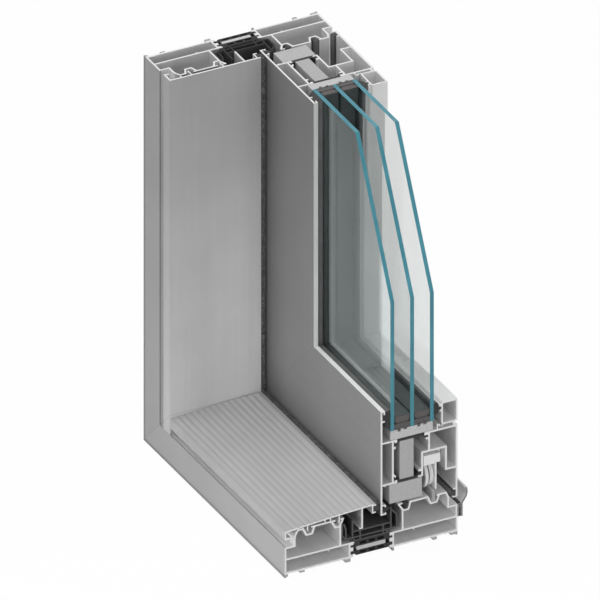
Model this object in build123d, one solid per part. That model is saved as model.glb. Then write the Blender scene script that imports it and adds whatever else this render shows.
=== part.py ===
"""Corner sample of a lift-and-slide patio door: sill, jamb and the sash corner that slides on it.

Millimetres. Every section is drawn once, with its first coordinate as the depth from the outer
face (+Y) and its second as the reach from the wall side. The same section runs along the sill
(+X, reach upwards) and along the jamb (+Z, reach sideways), and the two meet in a mitre.
"""

import os

from build123d import *

# Sample, as sawn out of a whole door
sample_length = 280.0
sample_height = 400.0

# Fits
seat_gap = 0.3
seal_gap = 0.3
pin_clearance = 0.05

# Frame section: two aluminium halves on each side of the plastic break
wall = 1.7
outer_half_depth = 66.6
break_width = 42.3
inner_half_depth = 65.8
foot_reach = 3.9
deck_reach = 18.8
ledge_reach = 30.6
groove_reach = 39.2
track_reach = 46.4
channel_recess = 10.3
ledge_depth = 10.2
groove_width = 5.9
tooth_length = 2.8
deck_lip = 0.8
clip_groove_setback = 8.7
deck_rib_depth = 44.0
first_track_depth = 10.4
second_track_depth = 38.9
riser_depth = 56.5

# Plastic break and the trough above it
channel_wall = 1.5
channel_floor_reach = 24.1
trough_floor_reach = 30.1
trough_inset = 2.0
trough_width = 38.9
trough_rim_reach = 42.0

# Cover plates over the outer half
cover_thickness = 1.7
cover_leg_reach = 39.2
cover_overhang = 26.2
cover_nose = 4.6
cover_leg_width = 1.3
cover_clip_reach = 42.6
sill_cover_leg = 11.8
clip_leg_spacing = 5.5
jamb_cover_leg = 9.8
hook_width = 3.2
sill_cover_rise = 5.8
sill_cover_reach = 48.0
jamb_cover_reach = 51.9
rib_pitch = 6.2
rib_depth = 0.45
rib_width = 3.4
rib_floor_width = 1.2
first_rib = 8.6
sill_front_leg = 23.3
jamb_front_leg = 12.6
jamb_middle_leg = 22.9
front_leg_reach = 43.0

# Brush seals between the covers and the sash
sill_brush_reach = 45.7
jamb_brush_reach = 44.0
brush_height = 5.2
brush_foot_width = 1.8
sill_brush_crest = 54.6
jamb_brush_crest = 55.2
brush_crest_width = 1.6

# Rail in the sill, and the trim along its inner edge
rail_width = 3.0
rail_foot_width = 3.6
rail_reach = 52.0
rail_start = 56.0
trim_wall = 1.7
trim_back_wall = 1.3
trim_back_depth = 3.5
trim_bottom_reach = 18.0
trim_top_reach = 46.5
trim_spread = 9.4

# Sash section
sash_depth = 77.7
sash_tip_reach = 39.3
sash_wall = 1.75
sash_height = 107.9
sash_floor = 30.9
sash_head = 74.4
edge_lip_depth = 3.75
edge_lip_length = 4.0
edge_lip_wall = 1.4
outer_chamber = 13.3
inner_web = 49.1
strip_lip = 4.8
carriage_channel_left = 42.0
carriage_channel_width = 24.2
carriage_channel_head = 55.1
bead_tooth_depth = 57.5
bead_tooth_height = 5.3

# Glass unit
pane_thickness = 4.0
pane_gap = 16.0
pane_offset = 10.0
glass_edge = 85.5
glass_top_length = 210.5
glass_slant_height = 258.0
sealant_height = 4.5
spacer_height = 8.0

# Glazing bead
bead_wall = 1.5
bead_depth = 16.2
bead_bottom = 79.6
bead_top = 101.4
bead_groove = 98.2

# Gaskets and the foam core
outer_gasket_back = 4.75
outer_gasket_bottom = 89.0
outer_gasket_top = 107.6
outer_gasket_key = 98.3
gasket_key_height = 5.1
inner_gasket_drop = 7.2
head_bulb_width = 5.4
head_bulb_height = 3.8
core_start = 6.0
core_width = 14.0

# Carriage and its wheel
wheel_inset = 15.2
wheel_radius = 13.9
wheel_flange_radius = 15.0
wheel_neck_radius = 12.4
wheel_width = 8.9
flange_width = 3.3
neck_width = 1.4
axle_radius = 3.0
cheek_thickness = 1.6
block_height = 10.0
carriage_length = 92.0
carriage_front_length = 9.0
carriage_flange = 4.0

# Places that follow from the sizes above
inner_half_start = outer_half_depth + break_width
frame_depth = inner_half_start + inner_half_depth
sash_face = frame_depth - sash_depth
channel_side = outer_half_depth - channel_recess
clip_groove_depth = channel_side - clip_groove_setback
overall_depth = frame_depth + trim_spread + 1.0
half_wall = wall / 2
pane_starts = [pane_offset + index * (pane_thickness + pane_gap) for index in range(3)]
groove_floor_top = groove_reach + half_wall
wheel_x = sample_length - wheel_inset
rail_centre = inner_half_start + second_track_depth + groove_width / 2
cover_clip_depth = channel_side - 1.1
sill_hook_depth = outer_half_depth + cover_overhang - cover_nose + 0.8
jamb_cover_depth = outer_half_depth + cover_overhang - 0.3
jamb_hook_depth = jamb_cover_depth - hook_width
sill_cover_end = outer_half_depth + cover_overhang - cover_nose
clip_leg_depth = clip_groove_depth - cover_leg_width
rib_count = int((sill_cover_end - first_rib) / rib_pitch) + 1

sill_plane = Plane(origin=(0, 0, 0), x_dir=(0, 1, 0), z_dir=(1, 0, 0))
jamb_plane = Plane(origin=(0, 0, 0), x_dir=(0, 1, 0), z_dir=(0, 0, -1))
mitre_plane = Plane(origin=(0, 0, 0), z_dir=(1, 0, -1))
to_origin = Pos(-sample_length / 2, -overall_depth / 2, 0)


def band(points, thickness=wall, closed=False):
    """A wall of even thickness whose middle line runs through the points."""
    spots = [Vector(*point) for point in points]
    count = len(spots)
    left = []
    right = []
    for index, spot in enumerate(spots):
        before = (spot - spots[index - 1]).normalized() if index > 0 or closed else None
        after = (spots[(index + 1) % count] - spot).normalized() if index < count - 1 or closed else None
        heading = ((before or after) + (after or before)).normalized()
        normal = Vector(-heading.Y, heading.X)
        run = before or after
        reach = thickness / 2 / normal.dot(Vector(-run.Y, run.X))
        left.append(spot + normal * reach)
        right.append(spot - normal * reach)
    if closed:
        rims = [make_face(Polyline(*rim, close=True)) for rim in (left, right)]
        rims.sort(key=lambda face: face.area)
        return rims[1] - rims[0]
    return make_face(Polyline(*left, *reversed(right), close=True))


def block(low, high):
    """A rectangle between two corners."""
    return make_face(Polyline(low, (high[0], low[1]), high, (low[0], high[1]), close=True))


def outline(*points):
    """A filled shape through its corners."""
    return make_face(Polyline(*points, close=True))


def fused(*faces):
    """One section out of overlapping faces."""
    return Sketch() + list(faces)


def bottom_arm(section, start=0.0):
    """The section run along the sill and mitred at the corner."""
    bar = extrude(sill_plane * section, amount=sample_length)
    arm = split(bar, bisect_by=mitre_plane, keep=Keep.TOP)
    if start:
        arm = split(arm, bisect_by=Plane(origin=(start, 0, 0), z_dir=(1, 0, 0)), keep=Keep.TOP)
    return arm


def side_arm(section):
    """The section run up the jamb and mitred at the corner."""
    bar = extrude(jamb_plane * section, amount=-sample_height)
    return split(bar, bisect_by=mitre_plane, keep=Keep.BOTTOM)


def save(name, *solids):
    """Write one named piece, moved to the part's origin."""
    placed = [to_origin * solid for whole in solids for solid in whole.solids()]
    shape = placed[0] if len(placed) == 1 else Compound(children=placed)
    export_step(shape, os.path.join("parts", name + ".step"))


def save_corner(bottom_name, side_name, section):
    """One section as the two mitred pieces of a corner."""
    save(bottom_name, bottom_arm(section))
    save(side_name, side_arm(section))


def frame_outer_section():
    """Outer aluminium half: chamber below, grooved head above, teeth towards the break."""
    end = outer_half_depth
    head = track_reach
    floor = foot_reach + half_wall
    return fused(
        band([(half_wall, 0), (half_wall, ledge_reach + half_wall)]),
        block((wall - 0.2, 1.0), (3.3, foot_reach + 0.2)),
        band([(half_wall, floor), (end - half_wall, floor)]),
        band([(end - half_wall, 0), (end - half_wall, deck_reach)]),
        block((15.5, 1.5), (20.3, foot_reach + 0.2)),
        block((end - 5.3, 0), (end - half_wall, foot_reach + 0.2)),
        band([(half_wall, deck_reach), (end + tooth_length + deck_lip, deck_reach)]),
        block((deck_rib_depth, deck_reach - 2.5), (deck_rib_depth + 1.0, deck_reach)),
        block((end - 0.2, deck_reach - 2.3), (end + tooth_length, deck_reach)),
        block((end - 0.2, 10.2), (end + tooth_length, 14.0)),
        block((end - 0.2, foot_reach), (end + tooth_length, 6.7)),
        band([(0, ledge_reach), (ledge_depth + half_wall, ledge_reach)]),
        band([
            (ledge_depth, ledge_reach), (ledge_depth, 38.4), (ledge_depth + 0.8, 42.2),
            (ledge_depth + 3.3, head), (18.8, head), (22.0, groove_reach),
            (22.0 + groove_width, groove_reach), (30.2, head),
        ]),
        band([
            (26.8, head), (clip_groove_depth, head), (clip_groove_depth + 3.7, groove_reach),
            (channel_side, groove_reach),
        ]),
        band([(clip_groove_depth, head), (clip_groove_depth + 3.6, head)]),
        band([
            (channel_side, deck_reach), (channel_side, 41.0), (channel_side + 2.6, head - 0.6),
        ]),
        block((channel_side - 0.1, head - 0.6), (channel_side + 3.6, head + half_wall)),
    )


def frame_inner_section():
    """Inner aluminium half, drawn from the break towards the room."""
    end = inner_half_depth
    first = first_track_depth
    second = second_track_depth
    head = track_reach
    floor = foot_reach + half_wall
    shape = fused(
        band([(half_wall, 0), (half_wall, deck_reach)]),
        band([(half_wall, floor), (end - half_wall, floor)]),
        band([(-tooth_length + 0.2, deck_reach), (end - half_wall, deck_reach)]),
        block((-tooth_length, deck_reach - 2.3), (0.2, deck_reach)),
        block((-tooth_length, 10.2), (0.2, 14.0)),
        block((-tooth_length, foot_reach), (0.2, 6.7)),
        block((21.2, deck_reach - 2.5), (22.2, deck_reach)),
        block((40.9, 0.5), (44.9, foot_reach + 0.2)),
        block((58.9, 1.0), (end - half_wall, foot_reach + 0.2)),
        band([(first, deck_reach), (first, groove_reach + 1.2), (first - 4.0, head)]),
        band([
            (first, groove_reach), (first + groove_width, groove_reach), (first + 8.0, head),
            (second - 3.0, head), (second, groove_reach), (second + groove_width, groove_reach),
            (second + 8.6, head),
        ]),
        band([
            (second + groove_width, head), (riser_depth - 2.3, head), (riser_depth, groove_reach + 1.8),
            (riser_depth, ledge_reach), (end, ledge_reach),
        ]),
        band([(first + 6.8, head), (first + 8.0, head)]),
        block((first - 4.4, head - 0.4), (first - 0.1, head + half_wall)),
        band([(end - half_wall, 0), (end - half_wall, ledge_reach + half_wall)]),
    )
    return Pos(inner_half_start, 0) * shape


def frame_strips_section():
    """The lower and upper plastic strips that join the two frame halves."""
    left = outer_half_depth + seat_gap
    right = inner_half_start - seat_gap
    body_left = outer_half_depth + tooth_length + deck_lip + seat_gap
    body_right = inner_half_start - tooth_length - seat_gap
    lower = outline(
        (left, 7.0), (body_left, 7.0), (body_left + 1.4, 5.2), (body_right - 1.4, 5.2),
        (body_right, 7.0), (right, 7.0), (right, 9.9), (left, 9.9),
    )
    top = deck_reach + half_wall - seat_gap
    upper = outline(
        (left, 14.3), (right, 14.3), (right, 16.2), (body_right, 16.2), (body_right, top),
        (body_left, top), (body_left, 16.2), (left, 16.2),
    )
    pitch = (body_right - body_left) / 4
    for index in range(1, 4):
        middle = body_left + index * pitch
        lower -= block((middle - 3.2, 6.5), (middle + 3.2, 8.6))
        upper -= block((middle - 3.2, 15.6), (middle + 3.2, top - 1.2))
    return lower, upper


def frame_foam_section():
    """Light foam bar between the two strips."""
    left = outer_half_depth + tooth_length + 3.4
    right = inner_half_start - tooth_length - 4.3
    return block((left, 9.9 + seat_gap), (right, 14.3 - seat_gap))


def channel_section():
    """Hollow plastic trough that carries the threshold between the two halves."""
    left = channel_side + half_wall + seat_gap + channel_wall / 2
    middle_left = outer_half_depth + trough_inset
    middle_right = middle_left + trough_width
    right = inner_half_start + 4.4
    low = channel_floor_reach
    neck_bottom = deck_reach + half_wall + channel_wall / 2
    neck_left = outer_half_depth + tooth_length + 1.6
    neck_right = inner_half_start - tooth_length - 1.9
    faces = [
        band([
            (left, low + 4.0), (left, 39.8), (left + 1.9, 39.8), (left + 3.7, 34.6), (left + 3.7, low),
        ], channel_wall),
        band([(left, low + 4.0), (left + 3.7, low), (right, low), (right, 37.0), (right - 4.6, 42.4)],
             channel_wall),
        band([(middle_left, trough_rim_reach), (middle_left, trough_floor_reach),
              (middle_right, trough_floor_reach), (middle_right, trough_rim_reach + 4.0)], channel_wall),
        band([(neck_left - 2.4, low), (neck_left, neck_bottom), (neck_right, neck_bottom),
              (neck_right - 2.4, low)], channel_wall),
        band([(middle_left, low), (middle_left, trough_floor_reach)], channel_wall),
        band([(middle_right, low), (middle_right, trough_floor_reach)], channel_wall),
    ]
    for share in (0.2, 0.8):
        web = middle_left + share * trough_width
        faces.append(band([(web, neck_bottom), (web, trough_floor_reach)], channel_wall))
    return fused(*faces)


def top_at(depth):
    """Height of the sill cover's upper face at a depth: a shallow parabola."""
    share = depth / sill_cover_end
    return sill_cover_reach + sill_cover_rise * (1.45 * share - 0.45 * share * share)


def rib_groove(depth):
    """Shallow valley between two ribs of the sill cover."""
    height = top_at(depth)
    floor = rib_floor_width / 2
    flare = floor + (rib_width / 2 - floor) * (rib_depth + 0.3) / rib_depth
    return outline(
        (depth - flare, height + 0.3), (depth - floor, height - rib_depth),
        (depth + floor, height - rib_depth), (depth + flare, height + 0.3),
    )


def sill_cover_section():
    """Ribbed threshold plate, rising towards the sash, with the clips under it."""
    far = sill_cover_end
    low = sill_cover_reach
    rise = sill_cover_rise
    spots = [(far * index / 4, top_at(far * index / 4)) for index in range(5)]
    tip = (far + cover_nose, low + rise - 1.4)
    upper = Spline(*spots)
    lower = Spline(*[(depth, height - cover_thickness) for depth, height in spots])
    plate = make_face([
        upper, Line(upper @ 1, tip), Line(tip, (tip[0] - 0.6, tip[1] - 1.2)),
        Line((tip[0] - 0.6, tip[1] - 1.2), lower @ 1), lower, Line(lower @ 0, upper @ 0),
    ])
    half = cover_thickness / 2
    trough = trough_floor_reach + channel_wall / 2 + seat_gap
    head_top = track_reach + half_wall + seat_gap
    long_leg = outer_half_depth + sill_cover_leg
    shape = fused(
        plate,
        band([(half, low), (half, cover_leg_reach + half), (6.0, cover_leg_reach + half)], cover_thickness),
        *[
            band([(leg, top_at(leg) - half), (leg, leg_end)], cover_leg_width) for leg, leg_end in (
                (sill_front_leg, front_leg_reach), (clip_leg_depth - clip_leg_spacing, head_top),
                (clip_leg_depth, head_top), (cover_clip_depth, cover_clip_reach),
            )
        ],
        band([(long_leg, top_at(long_leg) - half), (long_leg, trough + 0.5), (long_leg - 3.0, trough + 0.5)],
             1.0),
        band([(long_leg, top_at(long_leg) - half), (long_leg, trough)], 1.6),
        band([
            (sill_hook_depth, low + rise - 1.0), (sill_hook_depth, 44.7),
            (sill_hook_depth + hook_width, 44.7),
        ], cover_leg_width),
    )
    for index in range(rib_count):
        shape -= rib_groove(first_rib + index * rib_pitch)
    return shape


def jamb_cover_section():
    """Plain cover plate of the jamb, with its clips."""
    far = jamb_cover_depth
    top = jamb_cover_reach
    half = cover_thickness / 2
    trough = trough_floor_reach + channel_wall / 2 + seat_gap
    long_leg = outer_half_depth + jamb_cover_leg
    return fused(
        block((0, top - cover_thickness), (far, top)),
        band([(half, top - half), (half, cover_leg_reach + half), (5.0, cover_leg_reach + half)],
             cover_thickness),
        *[
            band([(leg, top - half), (leg, leg_end)], cover_leg_width) for leg, leg_end in (
                (jamb_front_leg, track_reach + half_wall + seat_gap), (jamb_middle_leg, front_leg_reach),
                (cover_clip_depth, cover_clip_reach),
            )
        ],
        band([(long_leg, top - half), (long_leg, trough)], 1.6),
        band([(jamb_hook_depth, top - half), (jamb_hook_depth, front_leg_reach), (far, front_leg_reach)],
             cover_leg_width),
    )


def between(low, high):
    """A box between two corners."""
    size = Vector(*high) - Vector(*low)
    return Pos(*low) * Box(size.X, size.Y, size.Z, align=(Align.MIN, Align.MIN, Align.MIN))


def jamb_cover():
    """The jamb's cover plate, whose face and front leg run on below the mitre to the sill's profile."""
    reach = jamb_cover_reach
    join = reach + cover_thickness
    head_top = track_reach + half_wall + seat_gap
    ledge_top = ledge_reach + half_wall + seat_gap
    face = between((reach - cover_thickness, 0, head_top), (reach, sill_cover_end, join))
    leg = between((cover_leg_reach, 0, ledge_top), (reach, cover_thickness, join))
    return side_arm(jamb_cover_section()) + face + leg


def brush_section(hook_depth, base_reach, cover_edge, crest_reach):
    """Brush seal: a narrow base held by the cover's hook, and the pile that swells against the sash."""
    hook_left = hook_depth + cover_leg_width / 2 + seat_gap
    face = sash_face - seal_gap
    shoulder = base_reach + brush_height
    clear = cover_edge + seat_gap
    return outline(
        (hook_left, base_reach), (hook_left + brush_foot_width, base_reach),
        (hook_left + brush_foot_width + 0.6, base_reach + 0.8), (face, base_reach + 0.6),
        (face, crest_reach), (face - brush_crest_width, crest_reach), (clear, shoulder + 1.0),
        (clear, shoulder), (hook_left, shoulder),
    )


def groove_gasket_section(groove_start):
    """Push-in gasket in a head groove, with a rounded bulb above it."""
    left = groove_start + half_wall + seat_gap
    right = groove_start + groove_width - half_wall - seat_gap
    middle = (left + right) / 2
    stem = outline(
        (left + 0.4, groove_floor_top + seat_gap), (right - 0.4, groove_floor_top + seat_gap),
        (right - 0.4, track_reach), (left + 0.4, track_reach),
    )
    bulb = Pos(middle, track_reach - 0.6) * Ellipse(head_bulb_width / 2, head_bulb_height / 2)
    return fused(stem, bulb)


def rail_section():
    """Track with a wide foot in the groove and a rounded running edge."""
    half = rail_width / 2
    low = groove_floor_top + seat_gap
    foot = block((rail_centre - rail_foot_width / 2, low), (rail_centre + rail_foot_width / 2, low + 1.6))
    web = block((rail_centre - half, low), (rail_centre + half, rail_reach - half))
    return fused(foot, web, Pos(rail_centre, rail_reach - half) * Circle(half))


def trim_section():
    """Clip-on trim: a two-chamber back and a lip that curls out and up."""
    near = frame_depth + seat_gap + trim_back_wall / 2
    out = near + trim_back_depth
    low = trim_bottom_reach
    foot = low + trim_wall / 2
    lip_top = trim_top_reach
    spread = frame_depth + trim_spread
    return fused(
        band([(near, foot), (near, ledge_reach + 0.6)], trim_back_wall),
        band([(near, foot), (out, foot)], trim_back_wall),
        band([(near, foot + 10.0), (out, foot + 10.0)], trim_back_wall),
        band([(near, ledge_reach + 0.6), (out, ledge_reach + 0.6)], trim_back_wall),
        band([
            (out, low), (out, ledge_reach + 0.9), (out + 2.6, ledge_reach + 4.6),
            (spread - 0.6, ledge_reach + 7.6), (spread + 0.15, ledge_reach + 11.4), (spread - 0.4, lip_top),
        ], trim_wall),
    )


def sash_outer_section():
    """Outer aluminium half of the sash, drawn from its outer face and its tip."""
    half = sash_wall / 2
    web = outer_chamber - half
    edge_top = sash_height - edge_lip_wall / 2
    return fused(
        band([(half, 0), (half, sash_height)], sash_wall),
        band([(half, half), (4.9, half), (4.9, 2.4)], sash_wall * 0.8),
        band([(half, 10.0), (4.4, 10.0), (5.1, 7.9)], 1.4),
        band([(half, sash_floor), (outer_chamber + 3.5, sash_floor)], sash_wall),
        block((3.9, sash_floor - 1.9), (4.9, sash_floor)),
        band([(web, sash_floor), (web, sash_head)], sash_wall),
        band([(half, sash_head), (outer_chamber + 3.5, sash_head)], sash_wall),
        block((outer_chamber + 1.0, sash_floor), (outer_chamber + 3.5, sash_floor + 2.2)),
        outline((outer_chamber - 0.2, sash_floor + 9.6), (outer_chamber - 0.2, sash_floor + 6.9),
                (outer_chamber + 1.7, sash_floor + 5.0), (outer_chamber + 2.6, sash_floor + 6.2)),
        block((outer_chamber - 0.2, sash_head - 8.6), (outer_chamber + 2.0, sash_head - 6.3)),
        block((outer_chamber + 1.0, sash_head - 2.4), (outer_chamber + 3.5, sash_head)),
        band([(half, edge_top), (edge_lip_depth, edge_top), (edge_lip_depth, sash_height - edge_lip_length)],
             edge_lip_wall),
        block((half, outer_gasket_key - 2.1), (outer_gasket_back - 0.45, outer_gasket_key - 0.5)),
    )


def sash_inner_section():
    """Inner aluminium half of the sash, with the carriage channel below the chamber."""
    half = sash_wall / 2
    left = carriage_channel_left
    right = left + carriage_channel_width
    head = carriage_channel_head
    end = sash_depth
    tooth = bead_tooth_depth
    tooth_top = sash_head + bead_tooth_height
    return fused(
        band([(left, sash_floor - 0.4), (left, head), (right, head), (right, sash_floor + 0.6),
              (end - half, sash_floor + 0.6)], sash_wall),
        block((left - 4.2, sash_floor - 0.4), (left, sash_floor + 1.3)),
        block((left - 3.7, sash_floor + 5.3), (left - half + 0.1, sash_floor + 7.5)),
        band([(inner_web, head), (inner_web, sash_head)], sash_wall),
        block((inner_web - 3.4, sash_head - 6.8), (inner_web - half + 0.1, sash_head - 4.8)),
        block((inner_web - strip_lip, sash_head - 2.3), (inner_web, sash_head + half)),
        band([(inner_web - 1.0, sash_head), (end - half, sash_head)], sash_wall),
        band([(end - half, 0), (end - half, sash_head + half)], sash_wall),
        band([(72.9, 0.7), (end - half, 0.7)], 1.4),
        block((73.4, 8.2), (end - half, 9.7)),
        band([
            (tooth, sash_head), (tooth, tooth_top), (tooth + 1.6, tooth_top), (tooth + 2.7, tooth_top - 2.1),
        ], 1.2),
    )


def sash_strips_section():
    """The two plastic strips that join the sash halves."""
    near = outer_chamber + seat_gap
    flat_start = outer_chamber + 3.5 + seat_gap
    low = sash_floor - 0.3
    channel_face = carriage_channel_left - sash_wall / 2
    lower = outline(
        (flat_start, low), (carriage_channel_left - 4.2 - seat_gap, low),
        (carriage_channel_left - 4.2 - seat_gap, sash_floor + 1.6),
        (channel_face - seat_gap, sash_floor + 1.6),
        (channel_face - seat_gap, sash_floor + 5.0), (channel_face - 2.6, sash_floor + 5.0),
        (channel_face - 5.4, low + 2.2), (flat_start + 2.6, low + 2.2), (near + 1.2, sash_floor + 4.4),
        (near, sash_floor + 4.4), (near, sash_floor + 2.5), (flat_start, sash_floor + 2.5),
    )
    web_face = inner_web - sash_wall / 2
    high = sash_head + sash_wall / 2
    upper = outline(
        (flat_start, high), (inner_web - strip_lip - seat_gap, high),
        (inner_web - strip_lip - seat_gap, sash_head - 2.9),
        (web_face - seat_gap, sash_head - 2.9), (web_face - seat_gap, sash_head - 4.3),
        (web_face - 4.2, sash_head - 4.3), (web_face - 6.4, high - 2.3), (flat_start + 1.2, high - 2.3),
        (near + 2.2, sash_head - 6.0), (near, sash_head - 6.0), (near, sash_head - 2.7),
        (flat_start, sash_head - 2.7),
    )
    return lower, upper


def sash_core_section():
    """Foam core between the sash strips."""
    left = outer_chamber + core_start
    return block((left, sash_floor + 1.9 + seat_gap), (left + core_width, sash_head - 1.5 - seat_gap))


def sash_block_section():
    """Insulation block under the sash chambers, beside the carriage."""
    return block((9.0, 10.2), (carriage_channel_left - 0.3, sash_floor - sash_wall / 2 - seat_gap))


def packer_section():
    """Light packer bar that the glass unit stands on, its top cut into steps."""
    low = sash_head + sash_wall / 2 + seat_gap + 0.2
    high = glass_edge - seat_gap
    left = pane_starts[0]
    right = pane_starts[2] + 2.7
    shape = block((left, low), (right, high))
    for start in pane_starts[:2]:
        middle = start + pane_thickness + pane_gap / 2
        shape -= block((middle - 4.8, high - 2.2), (middle - 1.6, high + 1.0))
        shape -= block((middle + 1.2, high - 1.4), (middle + 4.8, high + 1.0))
    return shape


def bead_section():
    """Hollow snap-in glazing bead."""
    half = bead_wall / 2
    right = sash_depth - half
    left = right - bead_depth + bead_wall
    return fused(
        band([
            (left + 1.1, bead_bottom), (left, bead_bottom + 1.3), (left, bead_top - 1.0),
            (left + 1.0, bead_top), (right, bead_top), (right, bead_bottom + 1.2),
            (right - 2.7, bead_bottom),
        ], bead_wall, closed=True),
        band([(left + 1.1, bead_bottom), (left - 0.5, bead_bottom - 2.3)], 1.1),
        band([(right - 3.2, bead_bottom), (right - 3.2, sash_head + sash_wall / 2 + seat_gap)], 1.3),
        block((left - 2.9, bead_groove), (left, bead_groove + 1.7)),
        block((left - 2.4, bead_groove - 5.2), (left, bead_groove - 3.4)),
    )


def outer_gasket_section():
    """Wedge gasket between the outer sash wall and the glass."""
    left = sash_wall + seat_gap
    right = pane_offset - seat_gap
    back = outer_gasket_back
    return fused(
        outline((back, outer_gasket_bottom + 1.0), (right, outer_gasket_bottom), (right, outer_gasket_top),
                (back, outer_gasket_top - 1.0)),
        block((left + 0.2, outer_gasket_key), (back, outer_gasket_key + gasket_key_height)),
    )


def inner_gasket_section():
    """Wedge gasket between the glass and the bead."""
    left = pane_starts[2] + pane_thickness + seat_gap
    bead_face = sash_depth - bead_depth
    foot = bead_face - 3.3
    return fused(
        outline((left, bead_groove - inner_gasket_drop), (foot, bead_groove - inner_gasket_drop + 1.0),
                (foot, bead_top + 0.8), (left, bead_top + 2.0)),
        block((foot - 0.1, bead_groove - 2.9), (bead_face - seat_gap, bead_groove - 0.5)),
    )


def outer_lip_seal_section():
    """Seal in the outer hook of the sash, reaching for the trough's rim."""
    rim = outer_half_depth + trough_inset + trough_width - channel_wall / 2 - sash_face - seal_gap
    left = sash_wall + seat_gap
    return outline((left, 3.3), (rim - 3.2, 3.3), (rim, 5.4), (rim, 7.2), (left, 6.9))


def inner_bulb_seal_section():
    """Hollow-looking bulb seal in the inner hook of the sash."""
    base_left = sash_depth - sash_wall - seat_gap - 2.0
    riser = inner_half_start + riser_depth + half_wall - sash_face
    radius = 2.2
    middle = riser + seal_gap + radius
    return fused(
        Pos(middle, 4.6) * Circle(radius),
        block((middle, 3.2), (base_left + 2.0, 6.0)),
        block((base_left + 0.4, 1.8), (base_left + 2.0, 7.7)),
    )


def on_sash(section):
    """A sash section moved to where the sash hangs in the frame."""
    return Pos(sash_face, sash_tip_reach) * section


def glass_pane(start):
    """One pane, its free corner cut at a slant like the sample in the photograph."""
    edge = sash_tip_reach + glass_edge
    shape = make_face(Polyline(
        (edge, edge), (sample_length, edge), (sample_length, glass_slant_height),
        (glass_top_length, sample_height), (edge, sample_height), close=True,
    ))
    face = Plane(origin=(0, sash_face + start, 0), x_dir=(1, 0, 0), z_dir=(0, -1, 0)) * shape
    return extrude(face, amount=-pane_thickness)


def wheel_side():
    """Depth of the wheel's left face: its tread is centred on the rail."""
    return rail_centre + rail_width / 2 - wheel_width - 0.6


def wheel_axis_reach():
    """Height of the wheel's axis: it stands on the rail."""
    return rail_reach + seat_gap + wheel_radius


def across(depth):
    """Plane at a depth, for round pieces whose axis runs through the door."""
    return Plane(origin=(wheel_x, depth, wheel_axis_reach()), x_dir=(1, 0, 0), z_dir=(0, 1, 0))


def disc(radius, start, length):
    """A round piece on the wheel's axis."""
    return extrude(across(start) * Circle(radius), amount=length)


def wheel():
    """Grooved running wheel: flange, neck and tread, bored for its axle."""
    start = wheel_side()
    tread = wheel_width - flange_width - neck_width
    shape = disc(wheel_flange_radius, start, flange_width)
    shape += disc(wheel_neck_radius, start + flange_width, neck_width)
    shape += disc(wheel_radius, start + flange_width + neck_width, tread)
    return shape - disc(axle_radius + pin_clearance, start - 1, wheel_width + 2)


def wheel_cheek_start():
    """Depth of the cheek plate beside the wheel."""
    return wheel_side() + wheel_width + seat_gap


def carriage_block():
    """Carriage bar in the sash channel, with its cheek plate and the pocket for the wheel."""
    channel_left = sash_face + carriage_channel_left + sash_wall / 2
    channel_right = channel_left + carriage_channel_width - sash_wall
    cheek = wheel_cheek_start()
    low = wheel_axis_reach() + wheel_radius - seat_gap
    high = low + block_height
    near = sample_length - carriage_front_length
    bar = Box(
        carriage_length - carriage_front_length, channel_right - channel_left - 1.2, block_height,
        align=(Align.MAX, Align.MIN, Align.MIN),
    )
    bar = Pos(near, channel_left + 0.6, low) * bar
    front = Pos(near, channel_left + 0.6, low) * Box(
        carriage_front_length, cheek + cheek_thickness - channel_left - 0.6, block_height,
        align=(Align.MIN, Align.MIN, Align.MIN),
    )
    plate_low = rail_reach + 1.2
    plate = Pos(sample_length, cheek, plate_low) * Box(
        2 * (sample_length - wheel_x) + 8, cheek_thickness, high - plate_low,
        align=(Align.MAX, Align.MIN, Align.MIN),
    )
    flange = Pos(near, cheek + cheek_thickness - 0.1, low + 0.4) * Box(
        carriage_front_length - 0.6, carriage_flange + 0.1, block_height - 0.8,
        align=(Align.MIN, Align.MIN, Align.MIN),
    )
    body = bar + front + flange
    body -= disc(wheel_flange_radius + 1.2, wheel_side() - 1.0, cheek - wheel_side() + 1.0)
    body += plate
    return body - disc(axle_radius, cheek - 1, cheek_thickness + 2)


def wheel_axle():
    """Pin through the wheel, riveted in the cheek plate, with a flat head."""
    head = 1.0
    start = wheel_side() - seat_gap - head
    end = wheel_cheek_start() + cheek_thickness
    pin = disc(axle_radius, start, end - start)
    return pin + disc(axle_radius + 2.0, start, head)


os.makedirs("parts", exist_ok=True)

# Frame
save_corner("sill_outer_profile", "jamb_outer_profile", frame_outer_section())
save_corner("sill_inner_profile", "jamb_inner_profile", frame_inner_section())
strips = frame_strips_section()
save("sill_thermal_strips", *[bottom_arm(strip) for strip in strips])
save("jamb_thermal_strips", *[side_arm(strip) for strip in strips])
save_corner("sill_foam_bar", "jamb_foam_bar", frame_foam_section())
save_corner("sill_trough", "jamb_trough", channel_section())
save("sill_cover", bottom_arm(sill_cover_section(), jamb_cover_reach + seat_gap))
save("jamb_cover", jamb_cover())
sill_brush = brush_section(sill_hook_depth, sill_brush_reach, sill_cover_end + cover_nose, sill_brush_crest)
jamb_brush = brush_section(jamb_hook_depth, jamb_brush_reach, jamb_cover_depth, jamb_brush_crest)
save("sill_brush_seal", bottom_arm(sill_brush))
save("jamb_brush_seal", side_arm(jamb_brush))
save("sill_gasket", bottom_arm(groove_gasket_section(inner_half_start + first_track_depth)))
save(
    "jamb_gaskets",
    side_arm(groove_gasket_section(inner_half_start + first_track_depth)),
    side_arm(groove_gasket_section(inner_half_start + second_track_depth)),
)
save("sill_rail", bottom_arm(rail_section(), rail_start))
save("sill_inner_trim", extrude(sill_plane * trim_section(), amount=sample_length))

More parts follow.
